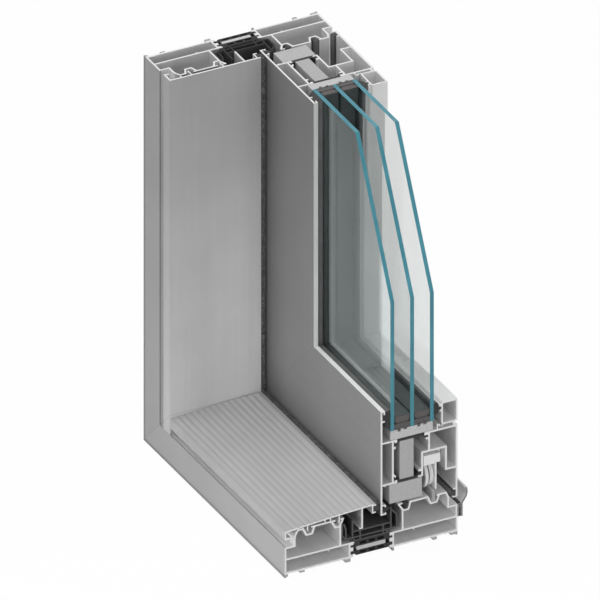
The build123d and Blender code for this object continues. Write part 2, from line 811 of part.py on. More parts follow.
# Sash
save_corner("bottom_rail_outer", "stile_outer", on_sash(sash_outer_section()))
save_corner("bottom_rail_inner", "stile_inner", on_sash(sash_inner_section()))
sash_strips = [on_sash(strip) for strip in sash_strips_section()]
save("bottom_rail_strips", *[bottom_arm(strip) for strip in sash_strips])
save("stile_strips", *[side_arm(strip) for strip in sash_strips])
save_corner("bottom_rail_core", "stile_core", on_sash(sash_core_section()))
save_corner("bottom_rail_block", "stile_block", on_sash(sash_block_section()))
save_corner("bottom_glass_packer", "side_glass_packer", on_sash(packer_section()))
save_corner("bottom_bead", "side_bead", on_sash(bead_section()))
gaskets = [on_sash(outer_gasket_section()), on_sash(inner_gasket_section())]
for gasket_name, gasket in zip(("outer_glazing_gasket", "inner_glazing_gasket"), gaskets):
    save(gasket_name, bottom_arm(gasket), side_arm(gasket))
seals = [on_sash(outer_lip_seal_section()), on_sash(inner_bulb_seal_section())]
for seal_name, seal in zip(("outer_lip_seal", "inner_bulb_seal"), seals):
    save(seal_name, bottom_arm(seal), side_arm(seal))

# Glass unit
for pane_name, pane_start in zip(("outer_pane", "middle_pane", "inner_pane"), pane_starts):
    save(pane_name, glass_pane(pane_start))
for side_name, pane_start in zip(("outer", "inner"), pane_starts[:2]):
    gap_left = pane_start + pane_thickness
    gap_right = gap_left + pane_gap
    sealant_low = glass_edge + 1.2
    spacer_low = sealant_low + sealant_height
    sealant = on_sash(block((gap_left, sealant_low), (gap_right, spacer_low)))
    spacer = on_sash(block((gap_left + 0.2, spacer_low), (gap_right - 0.2, spacer_low + spacer_height)))
    save(side_name + "_edge_sealant", bottom_arm(sealant), side_arm(sealant))
    save(side_name + "_spacer", bottom_arm(spacer), side_arm(spacer))

# Carriage
save("carriage", carriage_block())
save("wheel_axle", wheel_axle())
save("carriage_wheel", wheel())
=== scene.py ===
"""Corner sample of a lift-and-slide patio door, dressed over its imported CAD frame.

Sizes are in millimetres of the corner itself: X from the wall side of the jamb, Y from the outer
face to the room, Z up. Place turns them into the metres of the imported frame.
"""

import logging
import math
from collections.abc import Callable, Sequence
from dataclasses import dataclass, field
from enum import Enum
from functools import cache

import bmesh
import bpy
import numpy as np
from mathutils import Matrix, Vector


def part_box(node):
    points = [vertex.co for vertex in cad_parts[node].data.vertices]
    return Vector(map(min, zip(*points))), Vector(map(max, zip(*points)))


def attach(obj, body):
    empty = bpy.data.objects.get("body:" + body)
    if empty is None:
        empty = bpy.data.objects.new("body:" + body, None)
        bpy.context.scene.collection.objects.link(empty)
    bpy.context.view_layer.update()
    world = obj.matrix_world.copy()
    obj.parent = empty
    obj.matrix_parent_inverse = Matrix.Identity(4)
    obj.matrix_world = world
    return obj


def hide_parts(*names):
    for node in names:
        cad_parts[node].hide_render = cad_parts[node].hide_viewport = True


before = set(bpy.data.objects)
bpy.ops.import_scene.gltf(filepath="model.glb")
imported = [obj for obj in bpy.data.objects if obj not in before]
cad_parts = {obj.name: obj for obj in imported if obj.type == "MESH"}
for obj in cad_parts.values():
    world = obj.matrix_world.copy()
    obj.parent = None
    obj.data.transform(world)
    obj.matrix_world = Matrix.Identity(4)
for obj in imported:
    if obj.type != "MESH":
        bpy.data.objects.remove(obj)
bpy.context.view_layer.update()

log = logging.getLogger("patio_door_corner")

Socket = bpy.types.NodeSocket
Colour = tuple[float, float, float, float]


def srgb(red: float, green: float | None = None, blue: float | None = None) -> Colour:
    """Turn display levels from 0 to 255 into a linear colour; one level alone gives a grey.

    Args:
        red: Level of red, or of all three.
        green: Level of green.
        blue: Level of blue.

    Returns:
        The linear colour, with an alpha of 1.
    """
    levels = (red, red if green is None else green, red if blue is None else blue)
    linear = [
        level / 255 / 12.92 if level <= 10.3 else ((level / 255 + 0.055) / 1.055) ** 2.4
        for level in levels
    ]
    return (linear[0], linear[1], linear[2], 1.0)


class Run(Enum):
    """Which way a bar was extruded, as the stretch of its die lines."""

    SILL = (3.0, 420.0, 420.0)
    JAMB = (420.0, 420.0, 3.0)


@dataclass(frozen=True)
class Place:
    """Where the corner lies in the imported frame, in millimetres."""

    length: float = 280.0
    height: float = 400.0
    depth: float = 185.1

    def metres(self, points: np.ndarray) -> np.ndarray:
        """Move corner millimetres to the frame's origin and turn them into metres."""
        shift = np.array([self.length / 2, self.depth / 2, 0.0])
        return (np.asarray(points, dtype=float) - shift) / 1000.0

    def along_x(self, value: float) -> float:
        """Place one X of the corner in the frame, in metres."""
        return (value - self.length / 2) / 1000.0

    def along_y(self, value: float) -> float:
        """Place one Y of the corner in the frame, in metres."""
        return (value - self.depth / 2) / 1000.0


PLACE = Place()
# Depths of the sash's outer face and of the room face, and the reach of the sash's tip.
SASH_FACE = 97.0
ROOM_FACE = 174.7
SASH_TIP = 39.3
# How far a mask stays off the face or the sawn end that it stops at.
FACE_MARGIN = 0.1
SAW_MARGIN = 0.05


class Wiring:
    """Adds nodes to one node tree and joins them."""

    def __init__(self, tree: bpy.types.NodeTree) -> None:
        """Work on a tree.

        Args:
            tree: The material's or group's node tree.
        """
        self.tree = tree

    def add(self, kind: str, settings: dict | None = None, inputs: dict | None = None) -> bpy.types.Node:
        """Add one node.

        Args:
            kind: The node's Blender type.
            settings: Attributes of the node by name.
            inputs: Values or sockets by input name or number.

        Returns:
            The new node.
        """
        node = self.tree.nodes.new(kind)
        for key, value in (settings or {}).items():
            setattr(node, key, value)
        for key, value in (inputs or {}).items():
            self.feed(node.inputs[key], value)
        return node

    def feed(self, entry: Socket, value: object) -> None:
        """Link a socket to an input, or set the input's own value.

        Args:
            entry: The input.
            value: Socket that is linked, or number, colour or vector that is set.
        """
        if isinstance(value, Socket):
            self.tree.links.new(value, entry)
        else:
            entry.default_value = value

    def math(self, operation: str, first: Socket | float, second: Socket | float = 0.0,
             clamp: bool = False) -> Socket:
        """Join two values with one operation.

        Args:
            operation: The Math node's operation.
            first: Left value or socket.
            second: Right value or socket.
            clamp: Whether the result is kept between 0 and 1.

        Returns:
            The resulting socket.
        """
        node = self.add("ShaderNodeMath", {"operation": operation, "use_clamp": clamp}, {0: first, 1: second})
        return node.outputs[0]

    def blend(self, share: Socket | float, first: Socket | Colour, second: Socket | Colour,
              mode: str = "MIX") -> Socket:
        """Blend two colours.

        Args:
            share: How much of the second colour shows.
            first: Colour at a share of 0.
            second: Colour at a share of 1.
            mode: The Mix node's blend type.

        Returns:
            The blended colour's socket.
        """
        node = self.add("ShaderNodeMix", {"data_type": "RGBA", "blend_type": mode},
                        {0: share, 6: first, 7: second})
        return node.outputs[2]

    def tinted(self, colour: Socket | Colour, mask: Socket, share: float, tint: Colour) -> Socket:
        """Blend a share of a tint into a colour where a mask is 1."""
        return self.blend(self.math("MULTIPLY", mask, share), colour, tint)

    def scaled(self, colour: Socket | Colour, level: Socket) -> Socket:
        """Multiply the three channels of a colour by one level."""
        grey = self.add("ShaderNodeCombineColor", inputs={index: level for index in range(3)})
        return self.blend(1.0, colour, grey.outputs[0], "MULTIPLY")

    def span(self, value: Socket, low: float, high: float, start: float, end: float) -> Socket:
        """Stretch a value's range.

        Args:
            value: The socket that is stretched.
            low: Value that becomes start.
            high: Value that becomes end.
            start: Result at low.
            end: Result at high.

        Returns:
            The clamped result's socket.
        """
        node = self.add("ShaderNodeMapRange", {"clamp": True},
                        {"Value": value, "From Min": low, "From Max": high, "To Min": start, "To Max": end})
        return node.outputs["Result"]

    def place(self) -> Socket:
        """Give the piece's own coordinates, in metres of the frame."""
        return self.add("ShaderNodeTexCoord").outputs["Object"]

    def noise(self, spot: Socket, scale: Socket | float, detail: float, roughness: float = 0.5) -> Socket:
        """Spread noise over coordinates.

        Args:
            spot: The coordinates.
            scale: Waves in a metre.
            detail: Number of finer layers.
            roughness: Strength of the finer layers.

        Returns:
            The noise's value, from 0 to 1.
        """
        node = self.add("ShaderNodeTexNoise", inputs={"Vector": spot, "Scale": scale, "Detail": detail,
                                                      "Roughness": roughness})
        return node.outputs["Fac"]

    def bump(self, shader: bpy.types.Node, height: Socket, strength: float, distance: float,
             normal: Socket | None = None) -> None:
        """Give a shader a fine relief.

        Args:
            shader: The material's Principled node.
            height: Height of the relief, about 0 to 1.
            strength: Share of the relief that shows.
            distance: Metres that a height of 1 stands for.
            normal: Normal that the relief starts from, if not the face's own.
        """
        node = self.add("ShaderNodeBump",
                        inputs={"Strength": strength, "Distance": distance, "Height": height})
        if normal is not None:
            self.feed(node.inputs["Normal"], normal)
        self.feed(shader.inputs["Normal"], node.outputs["Normal"])


def shader_group(name: str, inputs: Sequence[tuple[str, str, object]],
                 outputs: Sequence[tuple[str, str]],
                 body: Callable[[Wiring, bpy.types.Node], dict[str, Socket]]) -> bpy.types.NodeTree:
    """Build one shader node group.

    Args:
        name: The group's name.
        inputs: Name, socket type and default of each input.
        outputs: Name and socket type of each output.
        body: Adds the nodes and returns the socket of each output.

    Returns:
        The group's node tree.
    """
    tree = bpy.data.node_groups.new(name, "ShaderNodeTree")
    for label, kind, default in inputs:
        tree.interface.new_socket(name=label, in_out="INPUT", socket_type=kind).default_value = default
    for label, kind in outputs:
        tree.interface.new_socket(name=label, in_out="OUTPUT", socket_type=kind)
    wiring = Wiring(tree)
    entry = wiring.add("NodeGroupInput")
    exits = wiring.add("NodeGroupOutput")
    for label, socket in body(wiring, entry).items():
        tree.links.new(socket, exits.inputs[label])
    return tree


@cache
def sawn_ends() -> bpy.types.NodeTree:
    """Mask of the two sawn faces of the sample, with the saw's marks on them.

    Returns:
        The group's node tree.
    """

    def body(wiring: Wiring, entry: bpy.types.Node) -> dict[str, Socket]:
        """The mask is 1 where x or z reaches the sample's end; marks are wavy bands across it.

        Args:
            wiring: The group's wiring.
            entry: The group's input node, not used here.

        Returns:
            The socket of each output.
        """
        spot = wiring.place()
        parts = wiring.add("ShaderNodeSeparateXYZ", inputs={0: spot})
        at_side = wiring.math("GREATER_THAN", parts.outputs["X"], PLACE.along_x(PLACE.length - SAW_MARGIN))
        at_top = wiring.math("GREATER_THAN", parts.outputs["Z"], (PLACE.height - SAW_MARGIN) / 1000)
        bands = wiring.add("ShaderNodeTexWave", {"bands_direction": "DIAGONAL"},
                           {"Vector": spot, "Scale": 380.0, "Distortion": 3.0, "Detail": 2.0,
                            "Detail Scale": 1.4})
        grit = wiring.noise(spot, 1900.0, 2.0)
        marks = wiring.math("ADD", wiring.math("MULTIPLY", bands.outputs["Fac"], 0.6),
                            wiring.math("MULTIPLY", grit, 0.4))
        return {"Mask": wiring.math("MAXIMUM", at_side, at_top), "Marks": marks}

    return shader_group("sawn_ends", (), (("Mask", "NodeSocketFloat"), ("Marks", "NodeSocketFloat")), body)


@cache
def chamber_boxes() -> bpy.types.NodeTree:
    """Mask of the inside of the profiles, where the coat doesn't reach.

    Returns:
        The group's node tree.
    """

    def body(wiring: Wiring, entry: bpy.types.Node) -> dict[str, Socket]:
        """The mask is 1 where Depth lies between Front and Back, and Reach is below High.

        Args:
            wiring: The group's wiring.
            entry: The group's input node.

        Returns:
            The socket of each output.
        """
        inner = wiring.math("GREATER_THAN", entry.outputs["Depth"], entry.outputs["Front"])
        outer = wiring.math("LESS_THAN", entry.outputs["Depth"], entry.outputs["Back"])
        below = wiring.math("LESS_THAN", entry.outputs["Reach"], entry.outputs["High"])
        return {"Mask": wiring.math("MULTIPLY", wiring.math("MULTIPLY", inner, outer), below)}

    inputs = [(label, "NodeSocketFloat", 0.0) for label in ("Depth", "Reach", "Front", "Back", "High")]
    return shader_group("chamber_boxes", inputs, (("Mask", "NodeSocketFloat"),), body)


@cache
def rib_valley_shade() -> bpy.types.NodeTree:
    """Mask of painted shade in the valleys of the ribbed sill cover, darkest near the jamb.

    Returns:
        The group's node tree.
    """

    def body(wiring: Wiring, entry: bpy.types.Node) -> dict[str, Socket]:
        """Distance to the nearest valley is the depth's remainder by the pitch; noise breaks it up.

        Args:
            wiring: The group's wiring.
            entry: The group's input node.

        Returns:
            The socket of each output.
        """
        spot = wiring.place()
        parts = wiring.add("ShaderNodeSeparateXYZ", inputs={0: spot})
        depth = wiring.math("SUBTRACT", parts.outputs["Y"], entry.outputs["First"])
        offset = wiring.math("PINGPONG", depth, wiring.math("MULTIPLY", entry.outputs["Pitch"], 0.5))
        line = wiring.span(offset, 0.0002, 0.0016, 1.0, 0.0)
        patches = wiring.noise(spot, 130.0, 3.0)
        patchy = wiring.span(patches, 0.3, 0.7, 0.6, 1.0)
        # Painted shade: the valleys are darkest near the jamb and fade towards the sawn end.
        near_jamb = wiring.span(parts.outputs["X"], PLACE.along_x(60.0), PLACE.along_x(280.0), 1.0, 0.3)
        upper_face = wiring.math("GREATER_THAN", parts.outputs["Z"], 0.0465)
        seen = wiring.math("MULTIPLY", near_jamb, upper_face)
        return {"Mask": wiring.math("MULTIPLY", wiring.math("MULTIPLY", line, patchy), seen)}

    inputs = (("First", "NodeSocketFloat", 0.0), ("Pitch", "NodeSocketFloat", 0.0062))
    return shader_group("rib_valley_shade", inputs, (("Mask", "NodeSocketFloat"),), body)


@cache
def mitre_joint() -> bpy.types.NodeTree:
    """Mask of the hairline where the sill piece and the jamb piece of a profile meet.

    Returns:
        The group's node tree.
    """

    def body(wiring: Wiring, entry: bpy.types.Node) -> dict[str, Socket]:
        """Distance from the mitre is the size of x minus z; the mask fades to 0 over the width.

        Args:
            wiring: The group's wiring.
            entry: The group's input node.

        Returns:
            The socket of each output.
        """
        parts = wiring.add("ShaderNodeSeparateXYZ", inputs={0: wiring.place()})
        across = wiring.math("SUBTRACT", parts.outputs["X"], parts.outputs["Z"])
        offset = wiring.math("ABSOLUTE", wiring.math("ADD", across, PLACE.length / 2000))
        share = wiring.math("DIVIDE", offset, entry.outputs["Width"])
        return {"Mask": wiring.math("SUBTRACT", 1.0, share, clamp=True)}

    return shader_group("mitre_joint", (("Width", "NodeSocketFloat", 0.0003),),
                        (("Mask", "NodeSocketFloat"),), body)


@cache
def die_lines() -> bpy.types.NodeTree:
    """Fine lines that the die leaves along an extruded bar.

    Returns:
        The group's node tree.
    """

    def body(wiring: Wiring, entry: bpy.types.Node) -> dict[str, Socket]:
        """Noise over coordinates that are stretched along the bar, fine and coarse added.

        Args:
            wiring: The group's wiring.
            entry: The group's input node.

        Returns:
            The socket of each output.
        """
        stretched = wiring.add("ShaderNodeVectorMath", {"operation": "MULTIPLY"},
                               {0: wiring.place(), 1: entry.outputs["Stretch"]})
        fine = wiring.noise(stretched.outputs[0], 3.2, 3.0)
        broad = wiring.noise(stretched.outputs[0], 0.35, 1.0)
        lines = wiring.math("ADD", wiring.math("MULTIPLY", fine, 0.6),
                            wiring.math("MULTIPLY", broad, 0.4))
        return {"Lines": lines}

    return shader_group("die_lines", (("Stretch", "NodeSocketVector", Run.SILL.value),),
                        (("Lines", "NodeSocketFloat"),), body)


@cache
def coat_grain() -> bpy.types.NodeTree:
    """Powder coat: fine orange peel, flecks, and a slow drift of tone over the surface.

    Returns:
        The group's node tree.
    """

    def body(wiring: Wiring, entry: bpy.types.Node) -> dict[str, Socket]:
        """Peel is sub-millimetre noise, flecks are its peaks, drift is noise over centimetres.

        Args:
            wiring: The group's wiring.
            entry: The group's input node.

        Returns:
            The socket of each output.
        """
        spot = wiring.place()
        peel = wiring.noise(spot, entry.outputs["Scale"], 3.0, 0.6)
        drift = wiring.noise(spot, 16.0, 3.0)
        flecks = wiring.span(peel, 0.62, 0.72, 0.0, 1.0)
        return {"Peel": peel, "Flecks": flecks, "Drift": drift}

    return shader_group("coat_grain", (("Scale", "NodeSocketFloat", 1500.0),),
                        (("Peel", "NodeSocketFloat"), ("Flecks", "NodeSocketFloat"),
                         ("Drift", "NodeSocketFloat")), body)


@cache
def worn_and_highlit_edges() -> bpy.types.NodeTree:
    """Rounded arrises, and a mask of the edges: wear from handling, and a painted highlight along the arris.

    Returns:
        The group's node tree.
    """

    def body(wiring: Wiring, entry: bpy.types.Node) -> dict[str, Socket]:
        """The rounded normal leaves the flat one near an edge; the mask is how far it has turned.

        Args:
            wiring: The group's wiring.
            entry: The group's input node.

        Returns:
            The socket of each output.
        """
        rounded = wiring.add("ShaderNodeBevel", {"samples": 4}, {"Radius": entry.outputs["Radius"]})
        flat = wiring.add("ShaderNodeNewGeometry")
        likeness = wiring.add("ShaderNodeVectorMath", {"operation": "DOT_PRODUCT"},
                              {0: rounded.outputs["Normal"], 1: flat.outputs["Normal"]})
        turned = wiring.span(likeness.outputs["Value"], 0.99, 0.80, 0.0, 1.0)
        patches = wiring.noise(wiring.place(), 240.0, 2.0)
        rubbed_and_lit = wiring.math("MULTIPLY", turned, wiring.span(patches, 0.42, 0.62, 0.15, 1.0))
        return {"Normal": rounded.outputs["Normal"], "RubbedAndLit": rubbed_and_lit}

    return shader_group("worn_and_highlit_edges", (("Radius", "NodeSocketFloat", 0.0003),),
                        (("Normal", "NodeSocketVector"), ("RubbedAndLit", "NodeSocketFloat")), body)


@cache
def cell_foam() -> bpy.types.NodeTree:
    """Cells of a rigid foam: pores, and a cloudy tone.

    Returns:
        The group's node tree.
    """

    def body(wiring: Wiring, entry: bpy.types.Node) -> dict[str, Socket]:
        """Pores are the middles of fine cells, tone is soft noise a few millimetres across.

        Args:
            wiring: The group's wiring.
            entry: The group's input node.

        Returns:
            The socket of each output.
        """
        spot = wiring.place()
        cells = wiring.add("ShaderNodeTexVoronoi",
                           inputs={"Vector": spot, "Scale": entry.outputs["Scale"], "Randomness": 1.0})
        clouds = wiring.noise(spot, 320.0, 4.0)
        pores = wiring.span(cells.outputs["Distance"], 0.10, 0.42, 1.0, 0.0)
        return {"Pores": pores, "Clouds": clouds, "Height": cells.outputs["Distance"]}

    return shader_group("cell_foam", (("Scale", "NodeSocketFloat", 900.0),),
                        (("Pores", "NodeSocketFloat"), ("Clouds", "NodeSocketFloat"),
                         ("Height", "NodeSocketFloat")), body)


def new_material(name: str) -> tuple[bpy.types.Material, Wiring, bpy.types.Node]:
    """Start a material with one Principled shader.

    Args:
        name: The material's name.

    Returns:
        The material, its wiring and its Principled node.
    """
    material = bpy.data.materials.new(name)
    material.use_nodes = True
    shader = next(node for node in material.node_tree.nodes if node.type == "BSDF_PRINCIPLED")
    return material, Wiring(material.node_tree), shader


def grouped(wiring: Wiring, tree: bpy.types.NodeTree, **inputs: object) -> bpy.types.Node:
    """Place a shader group in a tree with its own values."""
    return wiring.add("ShaderNodeGroup", {"node_tree": tree}, inputs)


@dataclass(frozen=True)
class CoatedAluminium:
    """Powder-coated extrusion, bright metal where it was sawn.

    Depths, heights and reaches are millimetres of the corner. The coat's level is painted light and
    shade: it goes from a level at the foot to one at the top over the fade heights, and is brightened low
    down towards the sash.
    """

    name: str
    coat: Colour
    run: Run
    room_coat: Colour | None = None
    chambers: tuple[tuple[float, float, float], ...] = ()
    sawn: Colour = srgb(228)
    sawn_metal: float = 0.4
    roughness: float = 0.46
    edge_radius: float = 0.25
    back_plastic: float | None = None
    # Paler coat of the rim round the glass: a painted highlight.
    rim_coat: Colour | None = None
    painted_highlight_reach: float = 107.75
    mill: Colour = srgb(240)
    # Painted light and shade: the coat's level at the foot and at the top, the heights it fades over, and a
    # brightening low at the back.
    painted_light_foot: float = 1.0
    painted_light_top: float = 1.0
    painted_light_heights: tuple[float, float] = (60.0, 360.0)
    painted_back_light: float = 0.0
    painted_back_light_heights: tuple[float, float] = (100.0, 340.0)
    painted_back_light_depths: tuple[float, float] = (35.0, 90.0)
    # Painted shade: darkening of the sash's outer face in its corners, near the jamb.
    painted_corner_shade: float = 0.0
    painted_corner_shade_spread: float = 45.0
    first_rib: float | None = None
    # Painted shade at the foot of the profile, up to this reach from the wall side.
    painted_foot_shade_height: float = 3.2

    def build(self) -> bpy.types.Material:
        """Coat with peel, flecks, die lines, a mitre hairline, edges lightened partly by wear and partly as a
        painted highlight, and sawn ends.

        Returns:
            The material.
        """
        material, wiring, shader = new_material(self.name)
        grain = grouped(wiring, coat_grain(), Scale=1500.0)
        lines = grouped(wiring, die_lines(), Stretch=self.run.value)
        edges = grouped(wiring, worn_and_highlit_edges(), Radius=self.edge_radius / 1000)
        ends = grouped(wiring, sawn_ends())
        joint = grouped(wiring, mitre_joint(), Width=0.0003)
        parts = wiring.add("ShaderNodeSeparateXYZ", inputs={0: wiring.place()})
        reach = self.reach_of(wiring, parts)
        mill = self.mill_mask(wiring, parts, reach)
        colour = wiring.blend(mill, self.coat_by_face(wiring, parts, reach), self.mill)
        shade = wiring.span(grain.outputs["Drift"], 0.3, 0.7, 0.96, 1.04)
        streak = wiring.span(lines.outputs["Lines"], 0.35, 0.65, 0.97, 1.03)
        colour = wiring.scaled(colour, wiring.math("MULTIPLY", shade, streak))
        if self.first_rib is not None:
            # Painted shade in the valleys of the ribbed cover.
            darkened = grouped(wiring, rib_valley_shade(), First=PLACE.along_y(self.first_rib))
            colour = wiring.tinted(colour, darkened.outputs["Mask"], 0.34, srgb(92))
        colour = wiring.tinted(colour, grain.outputs["Flecks"], 0.10, srgb(225))
        # Lighter edges: partly wear, partly a painted highlight along the arris.
        colour = wiring.tinted(colour, edges.outputs["RubbedAndLit"], 0.30, srgb(232))
        colour = wiring.tinted(colour, joint.outputs["Mask"], 0.45, srgb(40))
        metal = wiring.blend(wiring.span(ends.outputs["Marks"], 0.3, 0.8, 0.0, 0.22), self.sawn, srgb(176))
        colour = wiring.blend(ends.outputs["Mask"], colour, metal)
        # Painted shade: faces within a few millimetres of the wall side, at the foot of the profile, are
        # darkened.
        foot_shade = wiring.math("LESS_THAN", reach, self.painted_foot_shade_height / 1000)
        wiring.feed(shader.inputs["Base Color"], wiring.tinted(colour, foot_shade, 0.6, srgb(96)))
        sheen = wiring.math("MULTIPLY", grain.outputs["Peel"], 0.12)
        sheen = wiring.math("ADD", self.roughness - 0.06, sheen)
        keen = wiring.math("MULTIPLY", ends.outputs["Mask"], -0.10)
        wiring.feed(shader.inputs["Roughness"], wiring.math("ADD", sheen, keen))
        bare = wiring.math("MAXIMUM", wiring.math("MULTIPLY", ends.outputs["Mask"], self.sawn_metal),
                           wiring.math("MULTIPLY", mill, 0.35))
        wiring.feed(shader.inputs["Metallic"], bare)
        relief = wiring.math("ADD", wiring.math("MULTIPLY", grain.outputs["Peel"], 0.7),
                             wiring.math("MULTIPLY", lines.outputs["Lines"], 0.5))
        sunk = wiring.math("MULTIPLY", joint.outputs["Mask"], -2.0)
        relief = wiring.math("ADD", relief, wiring.math("ADD", sunk, ends.outputs["Marks"]))
        wiring.bump(shader, relief, 0.35, 0.00006, edges.outputs["Normal"])
        return material

    def coat_by_face(self, wiring: Wiring, parts: bpy.types.Node, reach: Socket) -> Socket:
        """Choose the coat of the room face, the plastic back, and the paler rim round the glass, which is a
        painted highlight.

        Args:
            wiring: The material's wiring.
            parts: Separated coordinates of the piece.
            reach: Reach from the wall side.

        Returns:
            The toned colour's socket.
        """
        coat: Socket | Colour = self.coat
        if self.room_coat:
            room = wiring.math("GREATER_THAN", parts.outputs["Y"], PLACE.along_y(ROOM_FACE - FACE_MARGIN))
            coat = wiring.blend(room, coat, self.room_coat)
        if self.back_plastic:
            back = wiring.math("LESS_THAN", parts.outputs["Y"], PLACE.along_y(self.back_plastic))
            coat = wiring.blend(back, coat, srgb(44))
        # Painted highlight: the rim round the glass is paler than the coat.
        if self.rim_coat:
            rim = wiring.math("GREATER_THAN", reach, (SASH_TIP + self.painted_highlight_reach) / 1000)
            coat = wiring.blend(rim, coat, self.rim_coat)
        return self.toned(wiring, parts, coat)

    def toned(self, wiring: Wiring, parts: bpy.types.Node, coat: Socket | Colour) -> Socket:
        """Paint light and shade into the coat: fade it with height, brighten it low at the back, and darken
        the sash's outer face in its corners near the jamb.

        Args:
            wiring: The material's wiring.
            parts: Separated coordinates of the piece.
            coat: The coat's colour.

        Returns:
            The toned colour's socket.
        """
        # Painted light and shade: the level fades with height and is brightened low at the back, in place of
        # the lamps' fall-off.
        low, high = (height / 1000 for height in self.painted_light_heights)
        level = wiring.span(parts.outputs["Z"], low, high, self.painted_light_foot, self.painted_light_top)
        low, high = (height / 1000 for height in self.painted_back_light_heights)
        lift = wiring.span(parts.outputs["Z"], low, high, self.painted_back_light, 0.0)
        near, far = (PLACE.along_y(depth) for depth in self.painted_back_light_depths)
        depth = wiring.span(parts.outputs["Y"], near, far, 0.0, 1.0)
        level = wiring.math("MULTIPLY", level, wiring.math("ADD", 1.0, wiring.math("MULTIPLY", lift, depth)))
        # Painted shade: ambient occlusion darkens the sash's outer face near the jamb.
        if self.painted_corner_shade:
            corner = wiring.add("ShaderNodeAmbientOcclusion", {"samples": 6},
                                {"Distance": self.painted_corner_shade_spread / 1000})
            corner_shade = wiring.span(corner.outputs["AO"], 0.35, 0.95, self.painted_corner_shade, 0.0)
            front = wiring.math("LESS_THAN", parts.outputs["Y"], PLACE.along_y(SASH_FACE + FACE_MARGIN))
            kept = wiring.math("SUBTRACT", 1.0, wiring.math("MULTIPLY", corner_shade, front))
            level = wiring.math("MULTIPLY", level, kept)
        return wiring.scaled(coat, level)

    def reach_of(self, wiring: Wiring, parts: bpy.types.Node) -> Socket:
        """Measure the reach from the wall side: up from the sill, or sideways from the jamb.

        Args:
            wiring: The material's wiring.
            parts: Separated coordinates of the piece.

        Returns:
            The reach in metres.
        """
        if self.run is Run.SILL:
            return parts.outputs["Z"]
        return wiring.math("SUBTRACT", parts.outputs["X"], PLACE.along_x(0.0))

    def mill_mask(self, wiring: Wiring, parts: bpy.types.Node, reach: Socket) -> Socket | float:
        """Join the masks of the profile's chambers.

        Args:
            wiring: The material's wiring.
            parts: Separated coordinates of the piece.
            reach: Reach from the wall side.

        Returns:
            A mask that is 1 inside the chambers.
        """
        mask: Socket | float = 0.0
        for front, back, high in self.chambers:
            inside = grouped(wiring, chamber_boxes(), Depth=parts.outputs["Y"], Reach=reach,
                             Front=PLACE.along_y(front), Back=PLACE.along_y(back), High=high / 1000)
            mask = wiring.math("MAXIMUM", mask, inside.outputs["Mask"])
        return mask


@dataclass(frozen=True)
class BreakPlastic:
    """Black glass-filled plastic of the thermal break, greyer where it was sawn."""

    name: str
    body: Colour
    run: Run
    sawn: Colour
    roughness: float = 0.55

    def build(self) -> bpy.types.Material:
        """Dark body with die lines and fibre flecks, and a paler, scratched sawn end.

        Returns:
            The material.
        """
        material, wiring, shader = new_material(self.name)
        lines = grouped(wiring, die_lines(), Stretch=self.run.value)
        ends = grouped(wiring, sawn_ends())
        edges = grouped(wiring, worn_and_highlit_edges(), Radius=0.0002)
        fibres = wiring.noise(wiring.place(), 2600.0, 2.0)
        fleck = wiring.span(fibres, 0.60, 0.72, 0.0, 0.25)
        streak = wiring.span(lines.outputs["Lines"], 0.35, 0.65, 0.0, 0.3)
        colour = wiring.blend(streak, self.body, srgb(78))
        # Lighter edges: partly wear, partly a painted highlight along the arris.
        colour = wiring.tinted(colour, edges.outputs["RubbedAndLit"], 0.12, srgb(104))
        cut = wiring.blend(fleck, self.sawn, srgb(96))
        wiring.feed(shader.inputs["Base Color"], wiring.blend(ends.outputs["Mask"], colour, cut))
        shader.inputs["Specular IOR Level"].default_value = 0.3
        rough = wiring.math("ADD", self.roughness, wiring.math("MULTIPLY", lines.outputs["Lines"], 0.15))
        wiring.feed(shader.inputs["Roughness"], rough)
        grit = wiring.math("MULTIPLY", fibres, 0.6)
        relief = wiring.math("ADD", lines.outputs["Lines"], grit)
        wiring.bump(shader, relief, 0.35, 0.00008, edges.outputs["Normal"])
        return material


@dataclass(frozen=True)
class RigidFoam:
    """Rigid insulation foam, fine-celled."""

    name: str
    body: Colour
    pore: Colour
    cell_scale: float = 900.0
    depth: float = 0.00012

    def build(self) -> bpy.types.Material:
        """Pale foam with darker pores and a cloudy tone.

        Returns:
            The material.
        """
        material, wiring, shader = new_material(self.name)
        foam = grouped(wiring, cell_foam(), Scale=self.cell_scale)
        clouds = wiring.span(foam.outputs["Clouds"], 0.35, 0.65, 0.0, 0.16)
        colour = wiring.blend(clouds, self.body, self.pore)
        colour = wiring.tinted(colour, foam.outputs["Pores"], 0.30, self.pore)
        wiring.feed(shader.inputs["Base Color"], colour)
        rough = wiring.span(foam.outputs["Clouds"], 0.3, 0.7, 0.82, 0.95)
        wiring.feed(shader.inputs["Roughness"], rough)
        shader.inputs["Specular IOR Level"].default_value = 0.3
        wiring.bump(shader, foam.outputs["Height"], 0.5, self.depth)
        return material


@dataclass(frozen=True)
class Rubber:
    """Extruded rubber of gaskets and lips, with a faint bloom."""

    name: str
    body: Colour
    bloom: Colour
    roughness: float = 0.62
    cut: Colour = srgb(34)

    def build(self) -> bpy.types.Material:
        """Dark rubber, blotched by a dusty bloom along its length and black where it was cut.

        Returns:
            The material.
        """
        material, wiring, shader = new_material(self.name)
        ends = grouped(wiring, sawn_ends())
        spot = wiring.place()
        blotches = wiring.noise(spot, 75.0, 4.0)
        grain = wiring.noise(spot, 2400.0, 2.0)
        share = wiring.span(blotches, 0.40, 0.70, 0.0, 0.8)
        colour = wiring.blend(share, self.body, self.bloom)
        colour = wiring.blend(ends.outputs["Mask"], colour, self.cut)
        wiring.feed(shader.inputs["Base Color"], colour)
        rough = wiring.math("ADD", self.roughness, wiring.math("MULTIPLY", grain, 0.16))
        wiring.feed(shader.inputs["Roughness"], rough)
        wiring.bump(shader, grain, 0.3, 0.00006)
        return material


